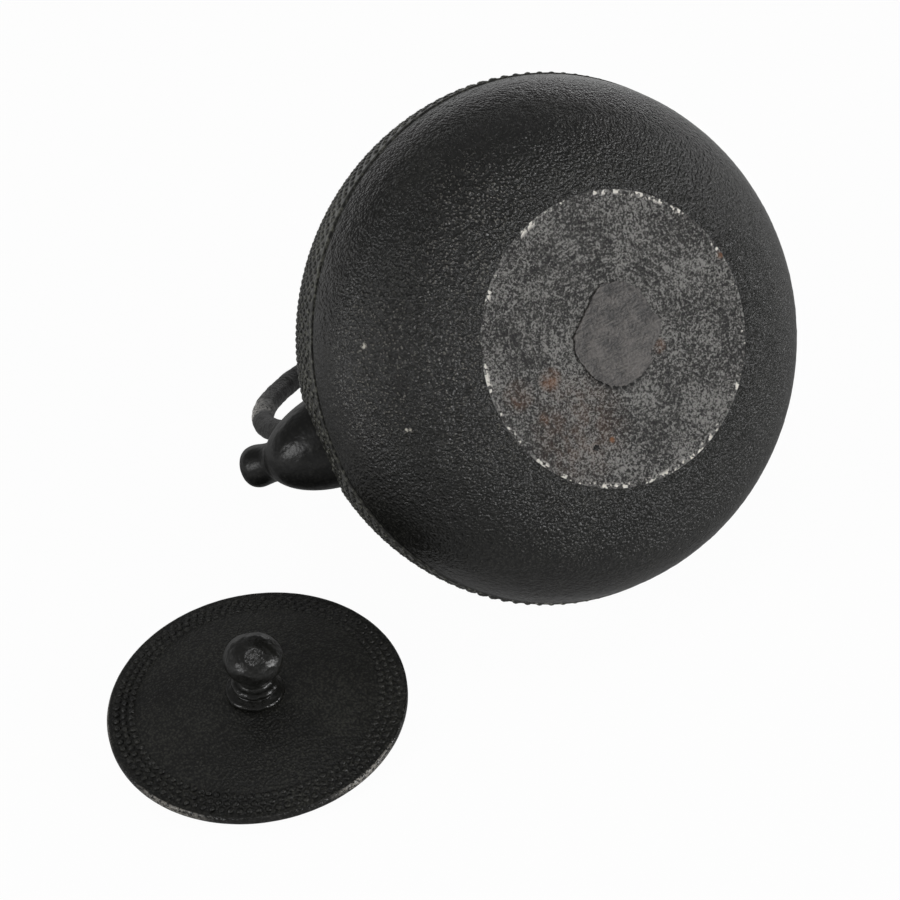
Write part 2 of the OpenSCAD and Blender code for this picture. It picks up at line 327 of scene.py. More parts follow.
def outward(bm: BMesh) -> None:
    """Turn all faces outwards."""
    bmesh.ops.recalc_face_normals(bm, faces=bm.faces)


def sink(bm: BMesh, depth: Callable[[BMVert], float]) -> None:
    """Move each vertex inwards along its normal.

    Args:
        bm: Mesh with faces that point outwards.
        depth: Gives the distance by which a vertex moves.
    """
    bm.normal_update()
    moves = [(v, v.normal * depth(v)) for v in bm.verts]
    for vert, move in moves:
        vert.co -= move


def to_mesh(name: str, bm: BMesh) -> Mesh:
    """Turn a bmesh into a mesh.

    Args:
        name: Name of the mesh.
        bm: The bmesh, which is freed.

    Returns:
        The mesh.
    """
    mesh = bpy.data.meshes.new(name)
    bm.to_mesh(mesh)
    bm.free()
    return mesh


def make_piece(name: str, bm: BMesh, place: Matrix, *materials: Material,
               smooth: bool = True) -> Object:
    """Make an object of a mesh modelled in millimetres.

    Args:
        name: Name of the object.
        bm: The mesh, which is freed.
        place: Matrix to the object's place in metres.
        materials: Its material slots.
        smooth: Whether its faces shade smoothly.

    Returns:
        The new object, at the origin.
    """
    bmesh.ops.transform(bm, matrix=place, verts=bm.verts)
    mesh = to_mesh(name, bm)
    for material in materials:
        mesh.materials.append(material)
    if smooth:
        mesh.shade_smooth()
    else:
        mesh.shade_flat()
    piece = bpy.data.objects.new(name, mesh)
    bpy.context.collection.objects.link(piece)
    return piece


def apply_modifiers(piece: Object) -> None:
    """Apply an object's modifiers to its mesh.

    Args:
        piece: The object, which gets a new mesh.
    """
    graph = bpy.context.evaluated_depsgraph_get()
    mesh = bpy.data.meshes.new_from_object(piece.evaluated_get(graph), depsgraph=graph)
    old = piece.data
    piece.modifiers.clear()
    piece.data = mesh
    bpy.data.meshes.remove(old)


def cut(piece: Object, bm: BMesh, place: Matrix = UPRIGHT) -> None:
    """Cut a closed solid out of a piece.

    Args:
        piece: The piece that loses the solid's room.
        bm: The solid, which is freed.
        place: Matrix from the solid's frame to the piece's.
    """
    cutter = make_piece("cutter", bm, place)
    boolean = piece.modifiers.new("cut", "BOOLEAN")
    boolean.operation = "DIFFERENCE"
    boolean.solver = "EXACT"
    boolean.object = cutter
    apply_modifiers(piece)
    bpy.data.objects.remove(cutter, do_unlink=True)


def lay_down(piece: Object, material: Material) -> None:
    """Lay an upright piece down and dress it.

    Args:
        piece: The piece, modelled in the upright kettle's frame.
        material: Its only material.
    """
    piece.data.transform(REST.kettle())
    piece.data.materials.clear()
    piece.data.materials.append(material)


# ---- finishes -------------------------------------------------------------------


def kettle_place(tree: NodeTree) -> Node:
    """Add the place in the upright kettle's frame, in metres.

    Args:
        tree: Node tree that takes the nodes.

    Returns:
        The node that gives the place.
    """
    lie = REST.kettle()
    return add_node(tree, "ShaderNodeMapping", {
        "Vector": add_node(tree, "ShaderNodeTexCoord").outputs["Object"],
        "Location": lie.to_translation(), "Rotation": lie.to_euler()},
        vector_type="TEXTURE")


def near(tree: NodeTree, place: Node, spots: Spots) -> Node:
    """Add a mask that is lit near some spots and 0 beyond them.

    Args:
        tree: Node tree that takes the nodes.
        place: Where the shaded point is, in metres.
        spots: Middle and reach in millimetres and strength of each spot.

    Returns:
        The node that gives the strongest spot's value at the place.
    """
    lit = None
    for middle, reach, strength in spots:
        apart = add_node(tree, "ShaderNodeVectorMath", {
            0: place, 1: [c * MM for c in middle]}, operation="DISTANCE")
        spot = add_node(tree, "ShaderNodeMapRange", {
            "Value": apart, "From Min": SPOT_CORE * reach * MM, "From Max": reach * MM,
            "To Min": strength, "To Max": 0.0})
        lit = spot if lit is None else add_node(
            tree, "ShaderNodeMath", {0: lit, 1: spot}, operation="MAXIMUM")
    return lit


@dataclass(frozen=True)
class CastIron:
    """Lacquer-baked cast iron, as it left a sand mould.

    The eye sees a soft black skin of small pebbles, each a little paler on its top and
    each with its own small glint of the lamps. In some spots the pebbles' tops are
    painted pale as painted highlights of the lamps; in others pale chips of bare iron
    show, and on the lid's rim these also stand in for its highlights.
    """

    name: str
    dark: str = "#151513"
    pale: str = "#2b2b28"
    glint_colour: str = "#8a8780"
    bare_and_highlight: str = "#cfcabf"
    roughness: float = 0.34
    spread: float = 0.07
    gloss: float = 0.5
    grain_mm: float = 1.25
    grain_depth_mm: float = 0.5
    sand_share: float = 0.8
    cell_weight: float = -0.75
    cell_smooth: float = 0.3
    coarse_mm: float = 3.2
    coarse_depth_mm: float = 0.5
    cloud_mm: float = 22.0
    cloud_weight: float = 0.6
    cloud_span: Span = (0.3, 0.7)
    tone_stops: Span = (0.4, 0.75)
    glint_span: Span = (0.3, 0.42)
    chip_and_highlight_span: Span = (0.4, 0.56)
    calm: float = 1.0
    calm_from_mm: float = -30.0
    painted_glints: Spots = ()
    chips_and_highlights: Spots = ()

    def build(self) -> Material:
        """Return the node material."""
        material, tree, shader = new_material(self.name)
        place = kettle_place(tree)
        cloud = add_node(tree, "ShaderNodeTexNoise", {
            "Vector": place, "Scale": per_metre(self.cloud_mm), "Detail": 4.0})
        sand = add_node(tree, "ShaderNodeTexNoise", {
            "Vector": place, "Scale": per_metre(self.grain_mm * self.sand_share),
            "Detail": 2.0})
        cells = add_node(tree, "ShaderNodeTexVoronoi", {
            "Vector": place, "Scale": per_metre(self.grain_mm),
            "Smoothness": self.cell_smooth}, feature="SMOOTH_F1")
        grain = add_node(tree, "ShaderNodeMath", {0: cells, 1: self.cell_weight, 2: sand},
                         operation="MULTIPLY_ADD")
        coarse = add_node(tree, "ShaderNodeTexNoise", {
            "Vector": place, "Scale": per_metre(self.coarse_mm), "Detail": 2.0})
        tone = add_node(tree, "ShaderNodeMath", {0: cloud, 1: self.cloud_weight, 2: grain},
                        operation="MULTIPLY_ADD")
        colour = set_ramp(add_node(tree, "ShaderNodeValToRGB", {"Fac": tone}),
                          self.tone_stops, (linear(self.dark), linear(self.pale)))
        # Two sets of spots paint pale marks over the iron: painted highlights on the pebbles'
        # tops where the lamps glint, and chips of bare iron, which on the lid's rim also stand
        # in for its highlights.
        for spots, source, (low, high), glint_or_bare in (
                (self.painted_glints, grain, self.glint_span, self.glint_colour),
                (self.chips_and_highlights, sand, self.chip_and_highlight_span, self.bare_and_highlight)):
            if spots:
                broken = add_node(tree, "ShaderNodeMapRange", {
                    "Value": source, "From Min": low, "From Max": high})
                worn = add_node(tree, "ShaderNodeMath", {
                    0: near(tree, place, spots), 1: broken}, operation="MULTIPLY")
                colour = add_node(tree, "ShaderNodeMix", {
                    "Factor": worn, "A": colour, "B": linear(glint_or_bare)}, data_type="RGBA")
        rough = add_node(tree, "ShaderNodeMapRange", {
            "Value": cloud, "From Min": self.cloud_span[0], "From Max": self.cloud_span[1],
            "To Min": self.roughness - self.spread, "To Max": self.roughness + self.spread})
        height = add_node(tree, "ShaderNodeSeparateXYZ", {"Vector": place}).outputs["Z"]
        strength = add_node(tree, "ShaderNodeMapRange", {
            "Value": height, "From Min": self.calm_from_mm * MM, "From Max": 0.0,
            "To Min": 1.0, "To Max": self.calm})
        coarse_bump = add_node(tree, "ShaderNodeBump", {
            "Strength": 1.0, "Distance": self.coarse_depth_mm * MM, "Height": coarse})
        grain_bump = add_node(tree, "ShaderNodeBump", {
            "Strength": strength, "Distance": self.grain_depth_mm * MM, "Height": grain,
            "Normal": coarse_bump})
        feed(tree, shader, {"Base Color": colour, "Roughness": rough, "Normal": grain_bump,
                            "Specular IOR Level": self.gloss})
        return material


@dataclass(frozen=True)
class SandyIron:
    """Bare base of the casting, roughened by the sand of the mould and by the stove.

    The eye sees a dull grey grit drawn out in short worms, brown stains on one side,
    a thin broken line of pale mineral specks along the edge, and a painted shadow: a
    black line along the crevice under the lower edge of the gate's scar.
    """

    name: str = "sand_cast_iron"
    dark: str = "#161616"
    middle: str = "#403f3d"
    pale: str = "#868582"
    rust: str = "#80522f"
    mineral: str = "#e4e0d8"
    painted_shadow: str = "#090908"
    roughness: float = 0.62
    gloss: float = 0.4
    grit_mm: float = 1.2
    grit_depth_mm: float = 0.9
    fine_share: float = 0.6
    drawn_share: float = 1.2
    flow_turn_mm: float = 11.0
    cloud_mm: float = 14.0
    cloud_weight: float = 0.35
    tone_stops: tuple[float, ...] = (0.52, 0.585, 0.65)
    blot_mm: float = 3.5
    blot_span: Span = (0.42, 0.58)
    blot_least: float = 0.25
    speck_mm: float = 1.2
    speck_span: Span = (0.91, 0.97)
    speck_band_mm: Span = (2.0, 0.9)
    patch_mm: float = 6.0
    patch_weight: float = 0.5
    near_weight: float = 0.14
    flow: Spots = (((-2, -23, 0), 22.0, 0.75), ((22, -14, 0), 18.0, 0.6),
                   ((-24, -10, 0), 16.0, 0.7), ((6, 24, 0), 16.0, 0.5))
    stains: Spots = (((-26, 2, 0), 4.5, 0.5), ((-23, 20, 0), 19.0, 0.13),
                     ((-38, 2, 0), 6.0, 0.25), ((-33, 12, 0), 3.0, 0.3),
                     ((-14, 28, 0), 1.3, 1.0), ((45, -9, 0), 1.5, 1.0),
                     ((13, 8, 0), 3.0, 0.4))
    specked: Spots = (((16, -43, 0), 9.0, 1.0), ((28, -36, 0), 8.0, 1.0),
                      ((39, -25, 0), 9.0, 1.0), ((-12, -45, 0), 11.0, 0.8),
                      ((-34, -32, 0), 7.0, 0.5), ((-46, -4, 0), 15.0, 0.75),
                      ((-38, 27, 0), 11.0, 0.9), ((-22, 41, 0), 12.0, 1.0),
                      ((-2, 46, 0), 15.0, 1.0), ((17, 43, 0), 10.0, 0.8),
                      ((35, 31, 0), 6.0, 0.6))
    # Painted shadow along the crevice under the scar's lower edge.
    crevice: Spots = (((-10.3, 9.8, 0), 1.5, 0.8), ((-8.6, 12.1, 0), 1.5, 0.9),
                      ((-6.0, 13.8, 0), 1.5, 0.95), ((-3.2, 14.8, 0), 1.6, 0.95),
                      ((-0.6, 15.0, 0), 1.6, 0.95), ((2.0, 14.6, 0), 1.5, 0.9),
                      ((4.4, 13.9, 0), 1.4, 0.8), ((6.6, 12.9, 0), 1.2, 0.6))

    def build(self) -> Material:
        """Return the node material."""
        material, tree, shader = new_material(self.name)
        place = kettle_place(tree)
        flat = add_node(tree, "ShaderNodeVectorMath", {0: place, 1: (1.0, 1.0, 0.0)},
                        operation="MULTIPLY")
        reach = add_node(tree, "ShaderNodeVectorMath", {0: flat}, operation="LENGTH")
        tone = self.grit(tree, place, flat, reach)
        colour = set_ramp(add_node(tree, "ShaderNodeValToRGB", {"Fac": tone}),
                          self.tone_stops,
                          (linear(self.dark), linear(self.middle), linear(self.pale)))
        blots = add_node(tree, "ShaderNodeTexNoise", {
            "Vector": place, "Scale": per_metre(self.blot_mm), "Detail": 5.0, "W": 3.0},
            noise_dimensions="4D")
        blot = add_node(tree, "ShaderNodeMapRange", {
            "Value": blots, "From Min": self.blot_span[0], "From Max": self.blot_span[1],
            "To Min": self.blot_least})
        stain = add_node(tree, "ShaderNodeMath", {
            0: near(tree, flat, self.stains), 1: blot}, operation="MULTIPLY")
        # Over the grit go rust stains, mineral specks and the painted shadow along the crevice.
        for mask, over in ((stain, self.rust), (self.specks(tree, place, flat, reach),
                                                self.mineral),
                           (near(tree, flat, self.crevice), self.painted_shadow)):
            colour = add_node(tree, "ShaderNodeMix", {
                "Factor": mask, "A": colour, "B": linear(over)}, data_type="RGBA")
        bump = add_node(tree, "ShaderNodeBump", {
            "Strength": 1.0, "Distance": self.grit_depth_mm * MM, "Height": tone})
        feed(tree, shader, {"Base Color": colour, "Normal": bump,
                            "Roughness": self.roughness, "Specular IOR Level": self.gloss})
        return material

    def grit(self, tree: NodeTree, place: Node, flat: Node, reach: Node) -> Node:
        """Add the grit, in worms that run round the scar where the iron flowed.

        Args:
            tree: Node tree that takes the nodes.
            place: Where the shaded point is.
            flat: The same, on the disc's plane.
            reach: Its distance from the disc's middle.

        Returns:
            The node that gives both its tone and its height.
        """
        worms = add_node(tree, "ShaderNodeTexNoise", {
            "Vector": place, "Scale": per_metre(self.grit_mm), "Detail": 3.0,
            "Roughness": 0.6, "Distortion": 1.3})
        fine = add_node(tree, "ShaderNodeTexNoise", {
            "Vector": place, "Scale": per_metre(self.grit_mm * self.fine_share),
            "Detail": 4.0, "Roughness": 0.7})
        axes = add_node(tree, "ShaderNodeSeparateXYZ", {"Vector": flat})
        turn = add_node(tree, "ShaderNodeMath", {
            0: axes.outputs["Y"], 1: axes.outputs["X"]}, operation="ARCTAN2")
        along = add_node(tree, "ShaderNodeMath", {0: turn, 1: self.flow_turn_mm * MM},
                         operation="MULTIPLY")
        polar = add_node(tree, "ShaderNodeCombineXYZ", {"X": along, "Y": reach})
        drawn = add_node(tree, "ShaderNodeTexNoise", {
            "Vector": polar, "Scale": per_metre(self.grit_mm * self.drawn_share),
            "Detail": 4.0, "Roughness": 0.6, "Distortion": 0.5})
        flowed = add_node(tree, "ShaderNodeMix", {
            "Factor": near(tree, flat, self.flow), "A": worms, "B": drawn})
        mixed = add_node(tree, "ShaderNodeMath", {0: flowed, 1: fine}, operation="ADD")
        cloud = add_node(tree, "ShaderNodeTexNoise", {
            "Vector": place, "Scale": per_metre(self.cloud_mm), "Detail": 5.0})
        tone = add_node(tree, "ShaderNodeMath", {0: cloud, 1: self.cloud_weight, 2: mixed},
                        operation="MULTIPLY_ADD")
        return add_node(tree, "ShaderNodeMath", {0: tone, 1: 0.5}, operation="MULTIPLY")

    def specks(self, tree: NodeTree, place: Node, flat: Node, reach: Node) -> Node:
        """Add the mask of the mineral specks along the edge.

        Args:
            tree: Node tree that takes the nodes.
            place: Where the shaded point is.
            flat: The same, on the disc's plane.
            reach: Its distance from the disc's middle.

        Returns:
            The node that gives 1 on a speck and 0 beside it.
        """
        rim = add_node(tree, "ShaderNodeMapRange", {
            "Value": reach, "From Min": (BASE_R - self.speck_band_mm[0]) * MM,
            "From Max": (BASE_R - self.speck_band_mm[1]) * MM})
        specks = add_node(tree, "ShaderNodeTexNoise", {
            "Vector": place, "Scale": per_metre(self.speck_mm), "Detail": 1.0, "W": 7.0},
            noise_dimensions="4D")
        patches = add_node(tree, "ShaderNodeTexNoise", {
            "Vector": place, "Scale": per_metre(self.patch_mm), "Detail": 1.0})
        likely = add_node(tree, "ShaderNodeMath", {
            0: near(tree, flat, self.specked), 1: self.near_weight, 2: specks},
            operation="MULTIPLY_ADD")
        both = add_node(tree, "ShaderNodeMath", {
            0: patches, 1: self.patch_weight, 2: likely}, operation="MULTIPLY_ADD")
        speck = add_node(tree, "ShaderNodeMapRange", {
            "Value": both, "From Min": self.speck_span[0], "From Max": self.speck_span[1]})
        return add_node(tree, "ShaderNodeMath", {0: speck, 1: rim}, operation="MULTIPLY")


@dataclass(frozen=True)
class GroundIron:
    """Scar where the casting's gate was broken off and ground flat.

    The eye sees a smooth brownish grey patch with fine grinding lines and a few pits.
    """

    name: str = "ground_gate_scar"
    pit: str = "#15130f"
    dark: str = "#2a2827"
    pale: str = "#56524f"
    roughness: float = 0.5
    gloss: float = 0.4
    depth_mm: float = 0.65
    line_mm: float = 0.5
    line_long: float = 7.0
    line_turn: float = -0.6
    cloud_mm: float = 6.0
    cloud_share: float = 0.6
    grit_mm: float = 0.9
    grit_share: float = 0.35
    tone_stops: tuple[float, ...] = (0.33, 0.42, 0.57)

    def build(self) -> Material:
        """Return the node material."""
        material, tree, shader = new_material(self.name)
        place = kettle_place(tree)
        along = add_node(tree, "ShaderNodeMapping", {
            "Vector": place, "Scale": (1.0, self.line_long, 1.0),
            "Rotation": (0.0, 0.0, self.line_turn)})
        lines = add_node(tree, "ShaderNodeTexNoise", {
            "Vector": along, "Scale": per_metre(self.line_mm * self.line_long),
            "Detail": 3.0})
        cloud = add_node(tree, "ShaderNodeTexNoise", {
            "Vector": place, "Scale": per_metre(self.cloud_mm), "Detail": 5.0,
            "Distortion": 0.6})
        grit = add_node(tree, "ShaderNodeTexNoise", {
            "Vector": place, "Scale": per_metre(self.grit_mm), "Detail": 3.0})
        streaked = add_node(tree, "ShaderNodeMix", {
            "Factor": self.cloud_share, "A": lines, "B": cloud})
        tone = add_node(tree, "ShaderNodeMix", {
            "Factor": self.grit_share, "A": streaked, "B": grit})
        colour = set_ramp(add_node(tree, "ShaderNodeValToRGB", {"Fac": tone}),
                          self.tone_stops,
                          (linear(self.pit), linear(self.dark), linear(self.pale)))
        bump = add_node(tree, "ShaderNodeBump", {
            "Strength": 1.0, "Distance": self.depth_mm * MM, "Height": tone})
        feed(tree, shader, {"Base Color": colour, "Normal": bump,
                            "Roughness": self.roughness, "Specular IOR Level": self.gloss})
        return material


class Finish(Enum):
    """The kettle's finishes, by the part that shows them."""

    BOWL = CastIron("orange_peel_cast_iron", grain_mm=1.0, grain_depth_mm=0.8,
                    coarse_depth_mm=0.4, roughness=0.22, spread=0.04, calm=0.15,
                    calm_from_mm=-36.0,
                    # Painted highlights: pebble tops painted pale where the lamps glint on the
                    # bowl.
                    painted_glints=(((-69, -31, -24), 20.0, 0.6), ((-75, -14, -22), 20.0, 0.6),
                            ((-23, -57, -35), 20.0, 0.5), ((-38, -43, -37), 22.0, 0.5),
                            ((-52, -14, -38), 20.0, 0.5), ((-52, 8, -37), 18.0, 0.3),
                            ((-34, 42, -37), 26.0, 0.12), ((20, -56, -36), 26.0, 0.12)),
                    # Chips of bare iron.
                    chips_and_highlights=(((-71.2, -30.2, -21.3), 1.2, 1.0),
                           ((-70.8, -1.8, -28.6), 0.8, 1.0),
                           ((-71.4, -2.1, -27.8), 0.8, 1.0)))
    # Painted highlight: the hobnailed iron is painted much paler than the bowl's, standing in
    # for the grazing light that the hobnails catch.
    SHOULDER = CastIron("hobnailed_iron_painted_paler", dark="#252522", pale="#68685f",
                        grain_depth_mm=0.14, coarse_depth_mm=0.2)
    # Painted shadow: a black finish on the scar's torn edge, for the shade in the crevice.
    GAP = CastIron("painted_crevice_shadow", dark="#050505", pale="#0c0b0a", roughness=0.8,
                   gloss=0.1)
    BASE = SandyIron()
    SCAR = GroundIron()
    SPOUT = CastIron("smooth_cast_iron", dark="#0f0f0e", pale="#1c1c1a", roughness=0.38,
                     spread=0.09, gloss=0.36, grain_depth_mm=0.05, coarse_mm=3.8,
                     coarse_depth_mm=0.35)
    HANDLE = CastIron("worn_handle_iron", dark="#111110", pale="#252422", bare_and_highlight="#dfdcd6",
                      roughness=0.42, grain_mm=1.1, grain_depth_mm=0.25, coarse_mm=2.2,
                      coarse_depth_mm=0.5, cloud_mm=9.0,
                      # Pale flakes near the bend of the handle.
                      chips_and_highlights=(((-73, -3, 102), 9.0, 1.0), ((-70, -3, 110), 9.0, 1.0),
                             ((-64, -3, 119), 8.0, 0.5)))
    LID = CastIron("matt_lid_iron", pale="#353530", grain_mm=0.9, grain_depth_mm=0.26,
                   coarse_depth_mm=0.15, roughness=0.44, gloss=0.4)
    RIM = CastIron("rim_iron_worn_and_painted_highlights", pale="#2a2927", bare_and_highlight="#918d86", roughness=0.27,
                   grain_mm=1.1, grain_depth_mm=0.3, coarse_depth_mm=0.5, cloud_mm=7.0,
                   # Worn stretches of the rim, painted pale enough to also stand in for the
                   # lamps' highlights there.
                   chips_and_highlights=(((-176, 80, 18), 16.0, 0.9), ((-119, 96, -6), 16.0, 0.9),
                          ((-174, 56, 54), 14.0, 0.5)))
    KNOB = CastIron("polished_knob_iron", pale="#20201e", roughness=0.3, grain_mm=1.6,
                    grain_depth_mm=0.1, coarse_mm=3.4, coarse_depth_mm=0.6)
    WASHER = CastIron("blackened_washer_iron", grain_depth_mm=0.1)

    def material(self) -> Material:
        """Return this finish's material, made once."""
        return bpy.data.materials.get(self.value.name) or self.value.build()


# ---- the casting ----------------------------------------------------------------


@dataclass(frozen=True)
class DiscRelief:
    """Relief of the base disc: sandy grit, one pit, and ridges drawn round the scar."""

    least: float = 0.06
    grit_h: float = 0.2
    grit_pitch: float = 0.55
    ridge_h: float = 0.34
    ridge_pitch: float = 1.9
    ridge_r: float = 25.0
    ridge_w: float = 7.0
    ridge_base: float = 0.35
    swirl: float = 4.0
    slant: float = 0.15
    pit_at: Point = (-20.0, 28.0)
    pit_r: float = 1.3
    pit_h: float = 0.9

    def depth(self, at: Vector) -> float:
        """Return how deep the disc sinks at a place.

        Args:
            at: The place.

        Returns:
            The depth in millimetres.
        """
        flat = off_axis(at)
        swirl = self.swirl * noise.noise(Vector((at.x * 0.12, at.y * 0.3, 3.0)))
        ridge = 0.5 + 0.5 * math.sin(flat * self.ridge_pitch + swirl + at.x * self.slant)
        lower = (1 - self.ridge_base) * max(0.0, -at.y) / self.ridge_r
        above = bell(flat - self.ridge_r, self.ridge_w) * (self.ridge_base + lower)
        grit = self.grit_h * held(grains(at * self.grit_pitch, 0.9, 2.0, 4))
        pit = self.pit_h * bell(math.dist((at.x, at.y), self.pit_at), self.pit_r)
        return self.ridge_h * ridge * above + grit + self.least + pit


@dataclass
class Casting:
    """The kettle's cast body: bowl, base disc, shoulder, collar and mouth."""

    seam_r: float = 85.5
    seam_flare: float = 0.4
    flare_h: float = 4.0
    seam_groove: float = 0.7
    seam_gap: float = 0.05
    seam_strip: float = 1.4
    seam_round: float = 0.5
    dome_r: float = 87.1
    dome_h: float = 73.0
    mouth_z: float = 62.018
    mouth_r: float = 39.5
    collar_z: float = 59.418
    collar_r: float = 48.0
    collar_ledge: float = 2.6
    collar_clear: float = 3.0
    wall: float = 2.8
    floor_t: float = 4.4
    port_r: float = 9.0
    nail_h: float = 0.6
    nail_row: float = 2.6
    row_sink: float = 1.2
    bowl_power: float = 1.8
    bowl_round: float = 0.6
    edge_band: float = 0.8
    edge_z: float = -38.0
    disc_t: float = 0.6
    edge_h: float = 0.02
    peel_h: float = 0.2
    peel_pitch: float = 0.52
    patch_pitch: float = 0.045
    patch_base: float = 0.45
    peel_fade: float = 4.0
    cast_h: float = 0.05
    disc_step: float = 0.6
    bowl_step: float = 0.85
    skin_step: float = 1.6
    inner_bowl_step: float = 5.0
    inner_skin_step: float = 3.0
    curve_legs: int = 60
    bowl_steps: int = 560
    shoulder_steps: int = 320
    inner_steps: int = 120
    disc: DiscRelief = DiscRelief()

    @property
    def skin_r(self) -> float:
        """Radius of the shoulder's plain skin at the seam."""
        return self.dome_r - self.nail_h

    @property
    def skin_h(self) -> float:
        """Height that the skin's curve would reach if it went on to the axis."""
        return self.dome_h - self.nail_h

    @property
    def root_r(self) -> float:
        """Radius of the groove between the bowl's lip and the shoulder."""
        return self.seam_r + self.seam_flare - self.seam_groove

    def row_turn(self, angle: float) -> float:
        """Return the way from one row of hobnails to the next.

        Args:
            angle: The first row's angle on the shoulder's ellipse.

        Returns:
            The angle between the two.
        """
        wide, tall = self.dome_r - self.row_sink, self.dome_h - self.row_sink
        along = math.hypot(wide * math.sin(angle), tall * math.cos(angle))
        return self.nail_row * math.cos(angle) / along

    def nail_rows(self) -> list[float]:
        """Return the ellipse angle of each row of hobnails, from the seam upwards."""
        first = self.seam_strip + self.nail_row / 2
        rows = [math.asin(first / (self.dome_h - self.row_sink))]
        last = math.asin(self.collar_z / self.dome_h)
        while rows[-1] + 2 * self.row_turn(rows[-1]) < last:
            rows.append(rows[-1] + self.row_turn(rows[-1]))
        return rows

    def bowl_curve(self, rim: float, whole: float, base: float) -> list[Point]:
        """Return the bowl's curve, from the base's edge up to the seam.

        Args:
            rim: Its radius at the seam, without the flare.
            whole: Its depth.
            base: Its radius at the base.

        Returns:
            Points of radius and height.
        """
        points = []
        for i in range(self.curve_legs + 1):
            depth = whole * math.cos(math.pi / 2 * i / self.curve_legs)
            full = max(0.0, 1 - (depth / whole) ** self.bowl_power)
            flare = self.seam_flare * bell(depth, self.flare_h)
            points.append((base + (rim - base) * full ** self.bowl_round + flare, -depth))
        return points

    def skin_curve(self, rim: float, height: float, low: float, high: float) -> list[Point]:
        """Return part of a shoulder curve, between two heights."""
        return arc((0.0, 0.0), rim, height, math.asin(low / height),
                   math.asin(high / height), self.curve_legs)

    def build_bowl(self) -> Object:
        """Return the bowl with its base disc, as a closed shell."""
        bm = bmesh.new()
        disc = evenly([(0.0, -BOWL_DEPTH), (BASE_R, -BOWL_DEPTH)], self.disc_step)
        curve = evenly(self.bowl_curve(self.seam_r, BOWL_DEPTH, BASE_R), self.bowl_step)
        rim_r = self.seam_r + self.seam_flare
        lip = [(rim_r, -0.75), (rim_r - 0.15, -0.5), (self.root_r, -0.35),
               (self.root_r, -self.seam_gap)]
        spun(bm, disc + curve[1:-1] + lip, self.bowl_steps)
        outward(bm)
        rim = [e for e in bm.edges if e.is_boundary]
        inner_r, inner_h = self.seam_r - self.wall, BOWL_DEPTH - self.floor_t
        inner = evenly(self.bowl_curve(inner_r, inner_h, BASE_R - self.floor_t / 2),
                       self.inner_bowl_step)
        before = set(bm.edges)
        spun(bm, [(0.0, -inner_h)] + inner[:-1] + [(inner_r, -self.seam_gap)],
             self.inner_steps)
        inner_rim = [e for e in bm.edges if e not in before and e.is_boundary]
        bmesh.ops.bridge_loops(bm, edges=rim + inner_rim)
        outward(bm)
        sink(bm, self.bowl_relief)
        for face in bm.faces:
            middle = face.calc_center_median()
            low = middle.z < self.disc_t - BOWL_DEPTH
            face.material_index = int(low and off_axis(middle) < BASE_R)
        return make_piece("bowl", bm, REST.kettle(),
                          Finish.BOWL.material(), Finish.BASE.material())

    def bowl_relief(self, vert: BMVert) -> float:
        """Return how deep the bowl's cast skin sinks.

        Args:
            vert: A vertex of the bowl.

        Returns:
            The depth in millimetres, 0 on the inside and at the seam.
        """
        at, normal = vert.co, vert.normal
        inside = normal.x * at.x + normal.y * at.y < 0 and at.z > self.edge_z
        if inside or normal.z > 0.2:
            return 0.0
        if off_axis(at) < BASE_R - self.edge_band:
            return self.disc.depth(at)
        if off_axis(at) < BASE_R + self.edge_band and at.z < self.edge_z:
            return self.edge_h
        peel = held(grains(at * self.peel_pitch, 0.8, 2.1, 3))
        patch = self.patch_base + lumps(at * self.patch_pitch)
        return held(-at.z / self.peel_fade) * (self.peel_h * peel * patch)

    def build_shoulder(self, spout: "Spout") -> Object:
        """Return the shoulder with its collar and mouth, as a closed ring.

        Args:
            spout: The spout, whose root opens into the shoulder.

        Returns:
            The finished piece.
        """
        bm = bmesh.new()
        ledge_r, ledge_z = self.collar_r + self.collar_ledge, self.collar_z
        last = self.nail_rows()[-1]
        valley = self.skin_h * math.sin(last + self.row_turn(last) / 2)
        strip = [(self.root_r, 0.0), (self.skin_r - 0.35, 0.0),
                 (self.skin_r - 0.1, 0.12), (self.skin_r, self.seam_round)]
        skin = evenly(self.skin_curve(self.skin_r, self.skin_h, self.seam_round, valley),
                      self.skin_step)
        collar = [(ledge_r + 0.25, ledge_z - 0.25), (ledge_r - 0.2, ledge_z),
                  (self.collar_r + 0.3, ledge_z), (self.collar_r, ledge_z + 0.3),
                  (self.collar_r, self.mouth_z - 0.5), (self.collar_r - 0.4, self.mouth_z),
                  (self.mouth_r + 0.4, self.mouth_z), (self.mouth_r, self.mouth_z - 0.4)]
        roof = self.collar_z - self.wall
        inner = evenly(self.skin_curve(self.seam_r - self.wall, self.skin_h - self.wall,
                                       0.0, roof), self.inner_skin_step)[::-1]
        spun(bm, strip + skin[1:] + collar + [(self.mouth_r, roof)] + inner,
             self.shoulder_steps, closed=True)
        outward(bm)
        sink(bm, self.shoulder_relief)
        shoulder = make_piece("shoulder", bm, REST.kettle(), Finish.SHOULDER.material())
        port = bmesh.new()
        add_rod(port, self.port_r, 2 * spout.bulb_sink, spout.bulb)
        cut(shoulder, port, REST.kettle())
        return shoulder

    def shoulder_relief(self, vert: BMVert) -> float:
        """Return how deep the shoulder's cast skin sinks.

        Args:
            vert: A vertex of the shoulder.

        Returns:
            The depth in millimetres, 0 at the seam and the collar.
        """
        if vert.co.z < 0.4 or vert.co.z > self.collar_z - self.collar_clear:
            return 0.0
        return self.cast_h * (1 + noise.noise(vert.co * 0.35))


